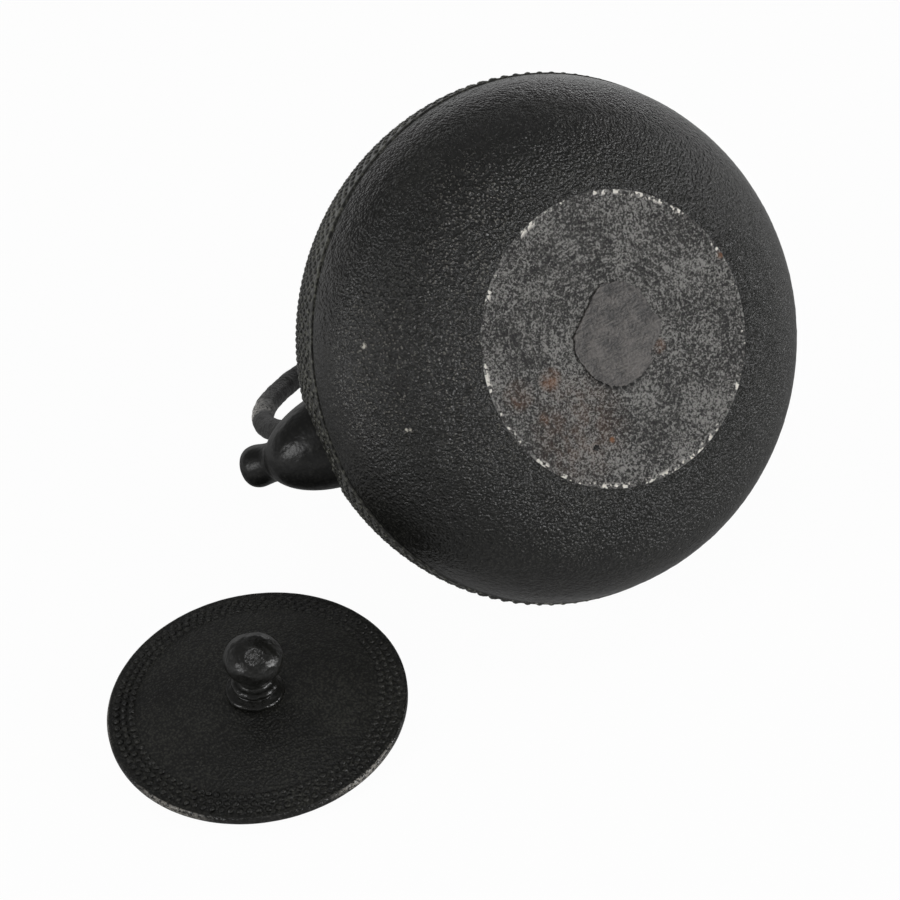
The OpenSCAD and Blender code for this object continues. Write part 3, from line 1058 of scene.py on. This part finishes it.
@dataclass
class Hobnails:
    """Rows of small studs, rounded diamonds in a tight lattice, that cover the shoulder."""

    body: Casting
    spout: "Spout"
    ears: "Ears"
    per_row: int = 125
    sides: int = 8
    wide: float = 1.3
    height_base: float = 0.35
    height_span: float = 0.62
    foot_share: float = 1.12
    foot_sink: float = 0.2
    brow_share: float = 0.66
    brow_level: float = 0.62
    corner_share: float = 0.9
    clear: float = 1.0

    def stud(self, half: float, height: float) -> BMesh:
        """Return one stud standing on the XY plane, rounded off to a low peak.

        Args:
            half: Half its width, along the row and across it.
            height: Height of the stud.

        Returns:
            A closed mesh of a few dozen faces.
        """
        bm = bmesh.new()
        for share, z in ((self.foot_share, -self.foot_sink),
                         (self.brow_share, height * self.brow_level)):
            bmesh.ops.create_circle(
                bm, cap_ends=False, segments=self.sides, radius=share,
                matrix=Matrix.Translation((0, 0, z)) @ Matrix.Diagonal((half, half, 1, 1)))
        for vert in bm.verts:
            if min(abs(vert.co.x), abs(vert.co.y)) > 0.1:
                vert.co.x *= self.corner_share
                vert.co.y *= self.corner_share
        bmesh.ops.bridge_loops(bm, edges=bm.edges)
        top = [e for e in bm.edges if all(v.co.z > 0 for v in e.verts)]
        cap = bmesh.ops.contextual_create(bm, geom=top)["faces"]
        for vert in bmesh.ops.poke(bm, faces=cap)["verts"]:
            vert.co.z = height
        floor = [e for e in bm.edges if all(v.co.z < 0 for v in e.verts)]
        bmesh.ops.contextual_create(bm, geom=floor)
        outward(bm)
        return bm

    def blocked(self, at: Vector) -> bool:
        """Say whether the spout's root or an ear covers a place on the shoulder.

        Args:
            at: The place.

        Returns:
            True where no stud stands.
        """
        spout, ears = self.spout, self.ears
        local = spout.bulb.inverted() @ at
        across = off_axis(local) / (spout.bulb_r + self.clear)
        if at.x < 0 and across ** 2 + (local.z / (spout.bulb_len + self.clear)) ** 2 < 1:
            return True
        aside = abs(abs(at.x) - ears.mid_x) < ears.thick / 2 + self.clear
        return aside and abs(at.y) < ears.foot_w + self.clear * 0.5

    def row(self, number: int, angle: float) -> Mesh:
        """Return one row of studs.

        Args:
            number: Number of the row, which sets its stagger.
            angle: Its place on the shoulder's ellipse.

        Returns:
            A mesh of the whole row.
        """
        body = self.body
        radius, z = body.skin_r * math.cos(angle), body.skin_h * math.sin(angle)
        slope = Vector((radius / body.skin_r ** 2, 0, z / body.skin_h ** 2)).normalized()
        stand = Vector((0, 0, 1)).rotation_difference(slope).to_matrix().to_4x4()
        tall = self.height_base + self.height_span * math.cos(angle)
        bm = self.stud(self.wide * math.cos(angle), body.nail_h * tall)
        bmesh.ops.transform(bm, verts=bm.verts,
                            matrix=Matrix.Translation((radius, 0, z)) @ stand)
        stud, ring = to_mesh("stud", bm), bmesh.new()
        previous = 0.0
        for i in range(self.per_row):
            turn = math.tau * (i + 0.5 * (number % 2)) / self.per_row
            if self.blocked(Vector((radius * math.cos(turn), radius * math.sin(turn), z))):
                continue
            stud.transform(Matrix.Rotation(turn - previous, 4, "Z"))
            previous = turn
            ring.from_mesh(stud)
        bpy.data.meshes.remove(stud)
        return to_mesh("row", ring)

    def build(self) -> Object:
        """Return all the studs as one piece."""
        whole = bmesh.new()
        rows = self.body.nail_rows()
        for number, angle in enumerate(rows):
            mesh = self.row(number, angle)
            whole.from_mesh(mesh)
            bpy.data.meshes.remove(mesh)
        log.info("hobnails: %d rows of %d", len(rows), self.per_row)
        return make_piece("hobnails", whole, REST.kettle(), Finish.SHOULDER.material())


@dataclass
class GateScar:
    """Low ground patch near the middle of the base disc."""

    outline: tuple[Point, ...] = (
        (2, -18), (9, -16), (14, -11), (14.5, -7), (15, -3), (17, 1), (14.5, 5),
        (10, 8), (8, 12), (3, 14), (-3, 14.5), (-8, 12.5), (-12, 8), (-13.5, 4),
        (-15, -2), (-13, -7), (-9, -10), (-4, -14), (2, -18))
    corner_step: float = 0.5
    ragged: float = 0.035
    rounds: int = 2
    slope_w: float = 0.6
    height: float = 0.5
    skirt: float = 0.8
    bed: float = 0.06
    gap_from: float = 8.5
    gap_to: float = 9.0
    gap_w: float = 0.7
    gap_base: float = 0.6
    gap_face: float = 5.0

    def in_gap(self, at: Vector) -> bool:
        """Say whether a place lies along the torn part of the edge."""
        return at.y > self.gap_from and at.x < self.gap_to

    def build(self) -> Object:
        """Return the patch as a thin closed plate set in the disc."""
        bm = bmesh.new()
        corners = evenly(self.outline, self.corner_step)[:-1]
        for _ in range(self.rounds):
            corners = [((a[0] + 2 * b[0] + c[0]) / 4, (a[1] + 2 * b[1] + c[1]) / 4)
                       for a, b, c in zip(corners[-1:] + corners[:-1], corners,
                                          corners[1:] + corners[:1])]
        verts = []
        for x, y in corners:
            ragged = 1 + self.ragged * noise.noise(Vector((x * 0.9, y * 0.9, 5)))
            verts.append(bm.verts.new((x * ragged, y * ragged, 0.0)))
        bm.faces.new(verts)
        bmesh.ops.inset_region(bm, faces=bm.faces[:], thickness=self.slope_w,
                               use_even_offset=True)
        top = max(bm.faces, key=lambda f: f.calc_area())
        inside = set(top.verts)
        for vert in bm.verts:
            if vert not in inside and self.in_gap(vert.co):
                torn_w = self.gap_w * (self.gap_base + noise.noise(vert.co * 0.35))
                vert.co += vert.co.normalized() * max(0.0, torn_w)
        for vert in top.verts:
            vert.co.z = -self.height
        border, _ = drawn_out(bm, [e for e in bm.edges if e.is_boundary])
        bmesh.ops.translate(bm, vec=(0, 0, self.skirt), verts=border)
        bmesh.ops.holes_fill(bm, edges=[e for e in bm.edges if e.is_boundary])
        bmesh.ops.translate(bm, vec=(0, 0, self.bed - BOWL_DEPTH), verts=bm.verts)
        outward(bm)
        # The torn edge's small faces take the black finish of painted shadow in the crevice.
        for face in bm.faces:
            torn = self.in_gap(face.calc_center_median())
            face.material_index = int(torn and face.calc_area() < self.gap_face)
        return make_piece("gate_scar", bm, REST.kettle(), Finish.SCAR.material(),
                          Finish.GAP.material(), smooth=False)


# ---- spout, ears and handle -----------------------------------------------------


@dataclass
class Spout:
    """Stub spout: a bulb that leans out of the shoulder and a short nozzle."""

    bulb_x: float = 71.086
    bulb_z: float = 19.647
    bulb_sink: float = 12.8
    bulb_len: float = 29.8
    bulb_r: float = 16.2
    bulb_tilt: float = 15.6
    elbow_x: float = 89.001
    elbow_z: float = 24.649
    nozzle_len: float = 20.0
    nozzle_tilt: float = 53.7
    waist_drop: float = 8.6
    lip_r: float = 7.1
    lip_in: float = 2.0
    lip_h: float = 4.0
    neck_r: float = 6.5
    bore_r: float = 4.4
    wall: float = 2.8
    set_in: float = 1.5
    set_floor: float = -8.0
    voxel: float = 0.55
    smoothings: int = 14

    def along(self, x: float, z: float, tilt: float) -> Matrix:
        """Return the matrix that lays a +Z solid along the spout.

        Args:
            x: Distance of its start from the kettle's axis.
            z: Height of its start above the seam.
            tilt: Rise above the horizontal in degrees.

        Returns:
            The matrix in the upright kettle's frame.
        """
        turn = Matrix.Rotation(math.radians(tilt - 90), 4, "Y")
        return Matrix.Translation((-x, 0, z)) @ turn

    @property
    def bulb(self) -> Matrix:
        """Matrix that lays a +Z solid along the bulb."""
        return self.along(self.bulb_x, self.bulb_z, self.bulb_tilt)

    @property
    def nozzle(self) -> Matrix:
        """Matrix that lays a +Z solid along the nozzle."""
        return self.along(self.elbow_x, self.elbow_z, self.nozzle_tilt)

    def nozzle_outline(self) -> list[Point]:
        """Return the nozzle's outline, from its root to the rolled lip."""
        roll = arc((self.lip_r - self.lip_in, self.nozzle_len - self.lip_h),
                   self.lip_in, self.lip_h, 0.0, math.pi / 2, 10)
        return [(0, -4), (self.neck_r + 1.5, -3), (self.neck_r + 0.9, 2),
                (self.neck_r, self.nozzle_len - self.waist_drop)] + roll + [
                (0, self.nozzle_len)]

    def ball(self, inset: float) -> BMesh:
        """Return the bulb's ellipsoid, or a smaller one inside it.

        Args:
            inset: How far it is drawn in on all sides.

        Returns:
            A closed mesh.
        """
        bm = bmesh.new()
        radius, half = self.bulb_r - inset, self.bulb_len - inset
        bmesh.ops.create_uvsphere(bm, u_segments=96, v_segments=64, radius=1.0,
                                  matrix=self.bulb @ Matrix.Diagonal((radius, radius, half, 1)))
        return bm

    def build(self, body: Casting) -> Object:
        """Return the spout with its bore, cut where it meets the shoulder.

        Args:
            body: The casting that it grows from.

        Returns:
            The finished piece.
        """
        bm = self.ball(0.0)
        spun(bm, self.nozzle_outline(), 96, self.nozzle)
        outward(bm)
        spout = make_piece("spout_cast", bm, UPRIGHT)
        remesh = spout.modifiers.new("skin", "REMESH")
        remesh.mode = "VOXEL"
        remesh.voxel_size = self.voxel
        remesh.use_smooth_shade = True
        blend = spout.modifiers.new("blend", "SMOOTH")
        blend.factor = 0.5
        blend.iterations = self.smoothings
        apply_modifiers(spout)
        skin = [(r - self.set_in, z) for r, z in
                body.skin_curve(body.skin_r, body.skin_h, 0.0, body.collar_z)]
        inner = bmesh.new()
        floor = [(0.0, self.set_floor), (skin[0][0], self.set_floor)]
        spun(inner, floor + skin + [(0.0, body.collar_z)], 240)
        outward(inner)
        cut(spout, inner)
        cut(spout, self.ball(self.wall))
        bore, bore_len = bmesh.new(), self.nozzle_len + 2
        add_rod(bore, self.bore_r, bore_len,
                self.nozzle @ Matrix.Translation((0, 0, bore_len / 2)))
        cut(spout, bore)
        lay_down(spout, Finish.SPOUT.material())
        spout.data.shade_smooth()
        return spout


@dataclass
class Ears:
    """The two cast ears that hold the handle's pins."""

    mid_x: float = 68.7
    thick: float = 6.0
    radius: float = 7.4
    rise: float = 8.6
    hole_r: float = 2.68
    foot: float = 1.35
    foot_up: float = 2.0
    soften: float = 0.9
    sharp: float = 1.0

    @property
    def foot_w(self) -> float:
        """Half width of an ear's foot."""
        return self.radius * self.foot

    def build(self, name: str, side: int) -> Object:
        """Return one ear.

        Args:
            name: Name of the piece.
            side: -1 above the spout, 1 at the back.

        Returns:
            The finished piece.
        """
        bm = bmesh.new()
        foot_z = PIVOT_Z - 2 * self.rise + self.foot_up
        left = side * self.mid_x - self.thick / 2
        corners = [(-self.foot_w, foot_z)] + arc(
            (0.0, PIVOT_Z), self.radius, self.radius, math.pi, 0.0, 24) + [
            (self.foot_w, foot_z)]
        plate = bm.faces.new([bm.verts.new((left, y, z)) for y, z in corners])
        up = bmesh.ops.extrude_face_region(bm, geom=[plate])["geom"]
        bmesh.ops.translate(bm, vec=(self.thick, 0, 0),
                            verts=[v for v in up if isinstance(v, BMVert)])
        outward(bm)
        rims = [e for e in bm.edges if abs(e.verts[0].co.x - e.verts[1].co.x) < 1e-4
                and e.calc_face_angle(0) > self.sharp]
        bmesh.ops.bevel(bm, geom=rims, offset=self.soften, offset_type="OFFSET", segments=3,
                        profile=0.5, affect="EDGES", material=-1)
        ear = make_piece(name, bm, UPRIGHT)
        hole = bmesh.new()
        add_rod(hole, self.hole_r, 3 * self.thick,
                Matrix.Translation((side * self.mid_x, 0, PIVOT_Z))
                @ Matrix.Rotation(math.pi / 2, 4, "Y"))
        cut(ear, hole)
        lay_down(ear, Finish.SHOULDER.material())
        ear.data.shade_flat()
        return ear


@dataclass
class Handle:
    """Round iron rod bent to an arch, with a pin at the foot of each leg."""

    leg_x: float = 76.3
    leg_len: float = 17.2
    rod_r: float = 4.2
    lean: float = 2.6
    pin_r: float = 2.6
    pin_len: float = 12.2
    rod_sides: int = 40
    arch_steps: int = 200
    leg_steps: int = 15
    foot_steps: int = 9
    slow_h: float = 0.24
    fast_h: float = 0.4
    pit_h: float = 1.2

    def add_leg(self, bm: BMesh, side: int) -> None:
        """Draw one end of the arch down to a leg, and round off its foot.

        Args:
            bm: The arch.
            side: -1 over the spout, 1 at the back.
        """
        rim = [e for e in bm.edges if e.is_boundary and e.verts[0].co.x * side > 0]
        for _ in range(self.leg_steps):
            verts, rim = drawn_out(bm, rim)
            bmesh.ops.translate(bm, vec=(0, 0, -self.leg_len / self.leg_steps), verts=verts)
        turns = [math.pi / 2 * i / self.foot_steps for i in range(self.foot_steps)]
        for last, angle in zip(turns, turns[1:]):
            verts, rim = drawn_out(bm, rim)
            shrink = math.cos(angle) / math.cos(last)
            bmesh.ops.scale(bm, vec=(shrink, shrink, 1.0), verts=verts,
                            space=Matrix.Translation((-side * self.leg_x, 0, 0)))
            drop = self.rod_r * (math.sin(angle) - math.sin(last))
            bmesh.ops.translate(bm, vec=(0, 0, -drop), verts=verts)
        bmesh.ops.holes_fill(bm, edges=rim)

    def build(self) -> Object:
        """Return the handle."""
        bm = bmesh.new()
        top = PIVOT_Z + self.leg_len
        bmesh.ops.create_circle(bm, cap_ends=False, segments=self.rod_sides,
                                radius=self.rod_r,
                                matrix=Matrix.Translation((self.leg_x, 0, top)))
        bmesh.ops.spin(bm, geom=bm.verts[:] + bm.edges[:], cent=(0, 0, top), axis=(0, -1, 0),
                       angle=math.pi, steps=self.arch_steps, use_merge=False)
        for side in (-1, 1):
            self.add_leg(bm, side)
        outward(bm)
        sink(bm, self.forging)
        for side in (-1, 1):
            pin_x = side * (self.leg_x - self.pin_len / 2)
            add_rod(bm, self.pin_r, self.pin_len,
                    Matrix.Translation((pin_x, 0, PIVOT_Z))
                    @ Matrix.Rotation(math.pi / 2, 4, "Y"), sides=48)
        bmesh.ops.transform(bm, matrix=about(PIVOT_Z, self.lean, "X"), verts=bm.verts)
        return make_piece("handle_rod", bm, REST.kettle(), Finish.HANDLE.material())

    def forging(self, vert: BMVert) -> float:
        """Return how deep the forged skin sinks.

        Args:
            vert: A vertex of the rod.

        Returns:
            The depth in millimetres.
        """
        at = vert.co
        slow, fast = lumps(at * 0.16), lumps(at * 0.42 + Vector((3, 0, 0)))
        pits = max(0.0, noise.noise(at * 0.6 + Vector((7, 0, 0))))
        return self.slow_h * slow + self.fast_h * fast + self.pit_h * pits ** 2


# ---- lid ------------------------------------------------------------------------


@dataclass
class Lid:
    """Low domed lid with a plain rim, three rows of dots and a flange."""

    radius: float = 49.1
    thick: float = 2.6
    rise: float = 5.0
    rim_flat: float = 2.4
    bevel: float = 0.7
    flange_r: float = 38.8
    flange_t: float = 2.6
    spindle_r: float = 3.0
    steps: int = 440
    top_step: float = 0.8
    plain_w: float = 1.2
    worn_w: float = 0.75
    edge_h: float = 0.03
    ring_h: float = 0.10
    ring_pitch: float = 0.95
    ring_at: float = 15.0
    ring_w: float = 8.0
    skin_h: float = 0.12
    rows: tuple[float, ...] = (3.5, 5.9, 8.4)
    dots: int = 96
    dot_r: float = 1.2
    dot_h: float = 0.74
    dot_sink: float = 0.12
    dot_least: float = 0.1
    outer_long: float = 1.12
    unworn: float = 0.72
    wear_towards: float = 160.0

    @property
    def edge(self) -> float:
        """Radius at which the dome meets the plain rim."""
        return self.radius - self.rim_flat

    def curve(self, r: float) -> float:
        """Return the lid's rise above its rim.

        Args:
            r: Radius in question.

        Returns:
            The rise in millimetres.
        """
        if r >= self.edge:
            return 0.0
        ball = (self.edge * self.edge + self.rise * self.rise) / (2 * self.rise)
        return self.rise - ball + math.sqrt(ball * ball - r * r)

    def build_plate(self) -> Object:
        """Return the lid's plate with its flange."""
        inside, low = self.flange_r - self.flange_t, -FLANGE_H
        under = [(r, self.curve(r)) for r in
                 [self.spindle_r + (inside - self.spindle_r) * i / 12 for i in range(13)]]
        flange = [(inside, low + 0.5), (inside + 0.5, low), (self.flange_r - 0.5, low),
                  (self.flange_r, low + 0.5), (self.flange_r, -0.2),
                  (self.flange_r + 0.3, 0.0)]
        rim = [(self.radius - 0.5, 0.0), (self.radius - 0.1, 0.2), (self.radius, 0.6),
               (self.radius, self.thick - self.bevel),
               (self.radius - 0.25, self.thick - 0.28), (self.radius - self.bevel, self.thick)]
        count = int((self.edge - 4) / self.top_step)
        top = [(r, self.thick + self.curve(r)) for r in [self.edge + 1.0] + [
               self.edge - i * self.top_step for i in range(count)] + [self.spindle_r]]
        bm = bmesh.new()
        spun(bm, under + flange + rim + top, self.steps, closed=True)
        outward(bm)
        sink(bm, self.relief)
        for face in bm.faces:
            middle = face.calc_center_median()
            outer = off_axis(middle) > self.radius - self.worn_w
            face.material_index = int(outer and middle.z > 0.6)
        return make_piece("lid_cast", bm, REST.lid(),
                          Finish.LID.material(), Finish.RIM.material())

    def relief(self, vert: BMVert) -> float:
        """Return how deep the lid's cast skin sinks.

        Args:
            vert: A vertex of the plate.

        Returns:
            The depth in millimetres, 0 on the underside.
        """
        at, flat = vert.co, off_axis(vert.co)
        if flat > self.radius - self.plain_w:
            return self.edge_h * (1 + noise.noise(at * 0.4))
        if vert.normal.z < 0.5:
            return 0.0
        wander = 2.2 * noise.noise(at * 0.09)
        rings = 0.5 + 0.5 * math.sin(flat * self.ring_pitch + wander)
        skin = held(grains(at * 0.33, 0.9, 2.0, 3))
        return self.ring_h * rings * bell(flat - self.ring_at, self.ring_w) + self.skin_h * skin

    def build_dots(self) -> Object:
        """Return the three staggered rows of dots, worn lower on one side."""
        bm = bmesh.new()
        for row, inset in enumerate(self.rows):
            r = self.radius - inset
            long = self.outer_long if row == 0 else 1.0
            for i in range(self.dots):
                angle = math.tau * (i + 0.5 * (row % 2)) / self.dots
                worn = math.cos(angle - math.radians(self.wear_towards))
                height = self.dot_h * (self.unworn + (1 - self.unworn) * worn)
                place = (Matrix.Translation((r * math.cos(angle), r * math.sin(angle),
                                             self.thick + self.curve(r) - self.dot_sink))
                         @ Matrix.Rotation(angle, 4, "Z")
                         @ Matrix.Diagonal((self.dot_r * long, self.dot_r,
                                            height + self.dot_least, 1.0)))
                bmesh.ops.create_uvsphere(bm, u_segments=8, v_segments=4, radius=1.0,
                                          matrix=place)
        return make_piece("lid_dots", bm, REST.lid(), Finish.LID.material())


@dataclass
class Knob:
    """Flattened iron ball on a ringed neck, riveted through the lid."""

    lid: Lid
    ball_r: float = 9.8
    ball_half: float = 7.3
    foot_r: float = 9.7
    foot_h: float = 1.9
    foot_in: float = 0.9
    foot_half: float = 0.95
    ring_r: float = 7.8
    ring_rise: float = 2.2
    ring_in: float = 1.7
    ring_half: float = 1.5
    neck_r: float = 5.2
    stem_h: float = 9.0
    washer_r: float = 9.0
    washer_t: float = 1.4
    washer_round: float = 0.3
    rivet_r: float = 4.8
    rivet_flat_r: float = 2.7
    rivet_h: float = 1.5
    foot_sink: float = 0.6
    stem_step: float = 0.35
    lean: float = 5.5
    lean_to: Point = (0.87, -0.49)
    dent_share: float = 0.75
    stem_rough: float = 0.22
    ball_rough: float = 0.008
    flats: tuple[tuple[Place, float], ...] = (
        ((-0.2, -0.5, 0.85), 0.94), ((0.75, -0.35, 0.55), 0.95), ((-0.8, 0.1, 0.5), 0.95),
        ((0.1, -0.97, 0.15), 0.955), ((-0.75, -0.62, -0.05), 0.95),
        ((0.72, -0.68, -0.1), 0.95), ((0.3, 0.8, 0.5), 0.94), ((0.95, 0.3, 0.1), 0.95))

    def build(self) -> Object:
        """Return the knob, leaning a little to one side."""
        foot_z = self.lid.thick + self.lid.curve(self.foot_r)
        neck = math.acos(self.neck_r / self.ball_r)
        ball_z = foot_z + self.stem_h + self.ball_half * math.sin(neck)
        ring_z = foot_z + self.foot_h + self.ring_rise
        foot = arc((self.foot_r - self.foot_in, foot_z + self.foot_half), self.foot_in,
                   self.foot_half, -math.pi / 2, math.pi / 2, 12)
        ring = arc((self.ring_r - self.ring_in, ring_z), self.ring_in, self.ring_half,
                   -math.pi / 3, -math.pi / 3 + math.pi * 0.8, 12)
        ball = arc((0.0, ball_z), self.ball_r, self.ball_half, -neck, math.pi / 2, 70)
        stem = evenly(foot + ring + [(self.neck_r + 0.3, ring_z + 2.0)] + ball[:1],
                      self.stem_step)
        seat, spindle_r = self.lid.curve(self.washer_r) - self.washer_t, self.lid.spindle_r
        rivet_z, sunk_z = seat - self.rivet_h, foot_z - self.foot_sink
        spindle = [(0.0, rivet_z), (self.rivet_flat_r, rivet_z), (self.rivet_r, seat),
                   (spindle_r, seat), (spindle_r, sunk_z), (self.foot_r - 1.2, sunk_z)]
        bm = bmesh.new()
        spun(bm, spindle + stem + ball[1:-1] + [(0.0, ball[-1][1])], 128)
        outward(bm)
        self.dent(bm, ball_z)
        axis = Vector((-self.lean_to[1], self.lean_to[0], 0)).normalized()
        bmesh.ops.transform(bm, matrix=about(foot_z, self.lean, axis),
                            verts=[v for v in bm.verts if v.co.z > foot_z - 0.3])
        return make_piece("knob_ball", bm, REST.lid(), Finish.KNOB.material())

    def dent(self, bm: BMesh, ball_z: float) -> None:
        """Hammer shallow flats into the ball, and roughen the stem.

        Args:
            bm: The knob's mesh.
            ball_z: Height of the ball's middle.
        """
        middle = Vector((0, 0, ball_z))
        for vert in bm.verts:
            if vert.co.z < ball_z - self.ball_half * 0.8:
                side = Vector((vert.co.x, vert.co.y, 0))
                if side.length > self.neck_r and vert.co.z > self.lid.thick:
                    rough = 1 + noise.noise(vert.co * 0.45)
                    vert.co -= side.normalized() * self.stem_rough * rough
                continue
            local = vert.co - middle
            unit = Vector((local.x / self.ball_r, local.y / self.ball_r,
                           local.z / self.ball_half))
            shrink = 0.0
            for direction, level in self.flats:
                over = unit.dot(Vector(direction).normalized()) - level
                shrink += max(0.0, over) * self.dent_share
            rough = self.ball_rough * (1 + noise.noise(local * 0.5))
            vert.co = middle + local * (1 - shrink - rough)

    def build_washer(self) -> Object:
        """Return the washer under the lid."""
        high = self.lid.curve(self.washer_r)
        low, r, soft = high - self.washer_t, self.washer_r, self.washer_round
        bm = bmesh.new()
        spun(bm, [(self.lid.spindle_r, low), (r - soft, low), (r, low + soft),
                  (r, high - soft), (r - soft, high), (self.lid.spindle_r, high)],
             96, closed=True)
        outward(bm)
        return make_piece("rivet_washer", bm, REST.lid(), Finish.WASHER.material(),
                          smooth=False)


# ---- studio ---------------------------------------------------------------------


@dataclass(frozen=True)
class Softbox:
    """Square lamp that faces the kettle: its place and side in metres, and its watts."""

    name: str
    place: Place
    side: float
    power: float
    aim: Place = (0.0, 0.0, 0.05)

    def build(self) -> None:
        """Create the lamp, out of the camera's sight."""
        data = bpy.data.lights.new(self.name, "AREA")
        data.size = self.side
        data.energy = self.power
        lamp = bpy.data.objects.new(self.name, data)
        at = Vector(self.place)
        turn = (at - Vector(self.aim)).to_track_quat("Z", "Y").to_matrix().to_4x4()
        lamp.matrix_world = Matrix.Translation(at) @ turn
        lamp.visible_camera = False
        bpy.context.collection.objects.link(lamp)


@dataclass
class Studio:
    """Pale floor, soft lamps, world and camera."""

    elevation: float = 42.95
    azimuth: float = -29.56
    roll: float = -6.34
    lens: float = 106.99
    sensor: float = 36.0
    clip_end: float = 100.0
    distance: float = 957.2
    look_side: float = -12.9
    look_back: float = 56.07
    lamps: tuple[Softbox, ...] = (
        Softbox("left_softbox", (-1.3, -0.05, 0.7), 0.5, 5.4),
        Softbox("right_softbox", (0.95, -1.2, 0.28), 0.7, 16.0),
        Softbox("top_softbox", (0.05, -0.1, 1.5), 0.22, 2.0),
        Softbox("back_softbox", (0.62, 0.58, 0.06), 0.1, 0.06))
    sweep_level: float = 0.6
    sweep_top: float = 0.2
    ceiling: float = 0.2
    floor_size: float = 60.0
    floor_colour: str = "#f4f4f4"
    floor_fade: Span = (0.2, 0.8)
    floor_near: float = 0.25
    floor_far: float = 0.85
    glow_share: float = 0.97

    def directions(self) -> tuple[Vector, Vector, Vector]:
        """Return the camera's right, up and backward directions."""
        e, a = math.radians(self.elevation), math.radians(self.azimuth)
        back = Vector((math.sin(a) * math.cos(e), -math.cos(a) * math.cos(e), math.sin(e)))
        right = Vector((math.cos(a), math.sin(a), 0.0))
        up = back.cross(right)
        r = math.radians(self.roll)
        return (right * math.cos(r) + up * math.sin(r),
                up * math.cos(r) - right * math.sin(r), back)

    def build_camera(self) -> None:
        """Create the camera."""
        right, up, back = self.directions()
        seam = REST.kettle().to_translation()
        target = Vector((seam.x + self.look_side * MM, seam.y + self.look_back * MM, 0.0))
        data = bpy.data.cameras.new("camera")
        data.lens = self.lens
        data.sensor_width = self.sensor
        data.clip_end = self.clip_end
        camera = bpy.data.objects.new("camera", data)
        turn = Matrix((right, up, back)).transposed().to_4x4()
        camera.matrix_world = Matrix.Translation(target + back * self.distance * MM) @ turn
        bpy.context.collection.objects.link(camera)
        bpy.context.scene.camera = camera

    def build_world(self) -> None:
        """Create the world: a pale band round the horizon under a dim ceiling."""
        world = bpy.data.worlds.new("studio")
        bpy.context.scene.world = world
        world.use_nodes = True
        tree = world.node_tree
        towards = add_node(tree, "ShaderNodeTexCoord").outputs["Generated"]
        height = add_node(tree, "ShaderNodeSeparateXYZ", {"Vector": towards}).outputs["Z"]
        band, above = grey(self.sweep_level), grey(self.ceiling)
        sweep = set_ramp(add_node(tree, "ShaderNodeValToRGB", {"Fac": height}),
                         (0.0, self.sweep_top * 0.5, self.sweep_top, 1.0),
                         (band, band, above, above))
        seen = add_node(tree, "ShaderNodeLightPath").outputs["Is Camera Ray"]
        level = add_node(tree, "ShaderNodeMix", {
            "Factor": seen, "A": sweep, "B": grey(1.0)}, data_type="RGBA")
        feed(tree, tree.nodes["Background"], {"Color": level})

    def floor_paper(self) -> Material:
        """Return the floor's paper: white to the camera, and painted shade near the kettle in
        reflections.
        """
        material, tree, shader = new_material("white_table_paper")
        feed(tree, shader, {"Base Color": linear(self.floor_colour), "Roughness": 0.9,
                            "Specular IOR Level": 0.1})
        rays = add_node(tree, "ShaderNodeLightPath").outputs
        place = add_node(tree, "ShaderNodeTexCoord").outputs["Object"]
        # Reflections see the floor glow dim near the kettle and brighter far off: painted shade
        # standing for the kettle's shadow.
        away = add_node(tree, "ShaderNodeVectorMath", {0: place}, operation="LENGTH")
        fading = add_node(tree, "ShaderNodeMapRange", {
            "Value": away, "From Min": self.floor_fade[0], "From Max": self.floor_fade[1],
            "To Min": self.floor_near, "To Max": self.floor_far})
        level = add_node(tree, "ShaderNodeMix", {
            "Factor": rays["Is Camera Ray"], "A": fading, "B": grey(1.0)}, data_type="RGBA")
        glow = add_node(tree, "ShaderNodeEmission", {"Color": level})
        seen = add_node(tree, "ShaderNodeMath", {
            0: rays["Is Camera Ray"], 1: rays["Is Glossy Ray"]}, operation="MAXIMUM")
        share = add_node(tree, "ShaderNodeMath", {0: seen, 1: self.glow_share},
                         operation="MULTIPLY")
        mix = add_node(tree, "ShaderNodeMixShader", {0: share, 1: shader, 2: glow})
        feed(tree, tree.nodes["Material Output"], {"Surface": mix})
        return material

    def build_floor(self) -> None:
        """Create the white floor, which keeps the kettle's soft shadow."""
        bm = bmesh.new()
        bmesh.ops.create_grid(bm, x_segments=1, y_segments=1, size=self.floor_size / 2)
        floor = make_piece("floor", bm, UPRIGHT, self.floor_paper(), smooth=False)

    def build(self) -> None:
        """Create everything around the kettle."""
        self.build_camera()
        for softbox in self.lamps:
            softbox.build()
        self.build_world()
        self.build_floor()
        bpy.context.scene.view_settings.view_transform = "Standard"


# ---- all together ---------------------------------------------------------------


def hand_over(piece: Object, body: str, slot: str, *nodes: str) -> None:
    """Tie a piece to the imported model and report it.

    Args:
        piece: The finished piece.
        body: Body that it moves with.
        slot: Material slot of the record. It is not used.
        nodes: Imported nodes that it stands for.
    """
    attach(piece, body)
    if nodes:
        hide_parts(*nodes)
    log.info("%s: %d faces, rides on %s", piece.name, len(piece.data.polygons), body)


def main() -> None:
    """Build the kettle, its lid and the studio."""
    logging.basicConfig(level=logging.INFO, format="%(message)s")
    Studio().build()
    body, spout, ears = Casting(), Spout(), Ears()
    hand_over(body.build_bowl(), "kettle", "body_iron", "kettle_body")
    hand_over(body.build_shoulder(spout), "kettle", "body_iron")
    hand_over(Hobnails(body, spout, ears).build(), "kettle", "body_iron")
    hand_over(GateScar().build(), "kettle", "body_iron")
    hand_over(spout.build(body), "kettle", "spout_iron", "spout")
    hand_over(ears.build("ear_over_spout", -1), "kettle", "body_iron", "ear_front")
    hand_over(ears.build("ear_at_back", 1), "kettle", "body_iron", "ear_rear")
    hand_over(Handle().build(), "handle", "handle_iron", "handle")
    lid = Lid()
    hand_over(lid.build_plate(), "lid", "lid_iron", "lid_plate")
    hand_over(lid.build_dots(), "lid", "lid_iron")
    knob = Knob(lid)
    hand_over(knob.build(), "lid", "knob_iron", "knob")
    hand_over(knob.build_washer(), "lid", "washer_iron", "knob_washer")


if __name__ == "__main__":
    main()
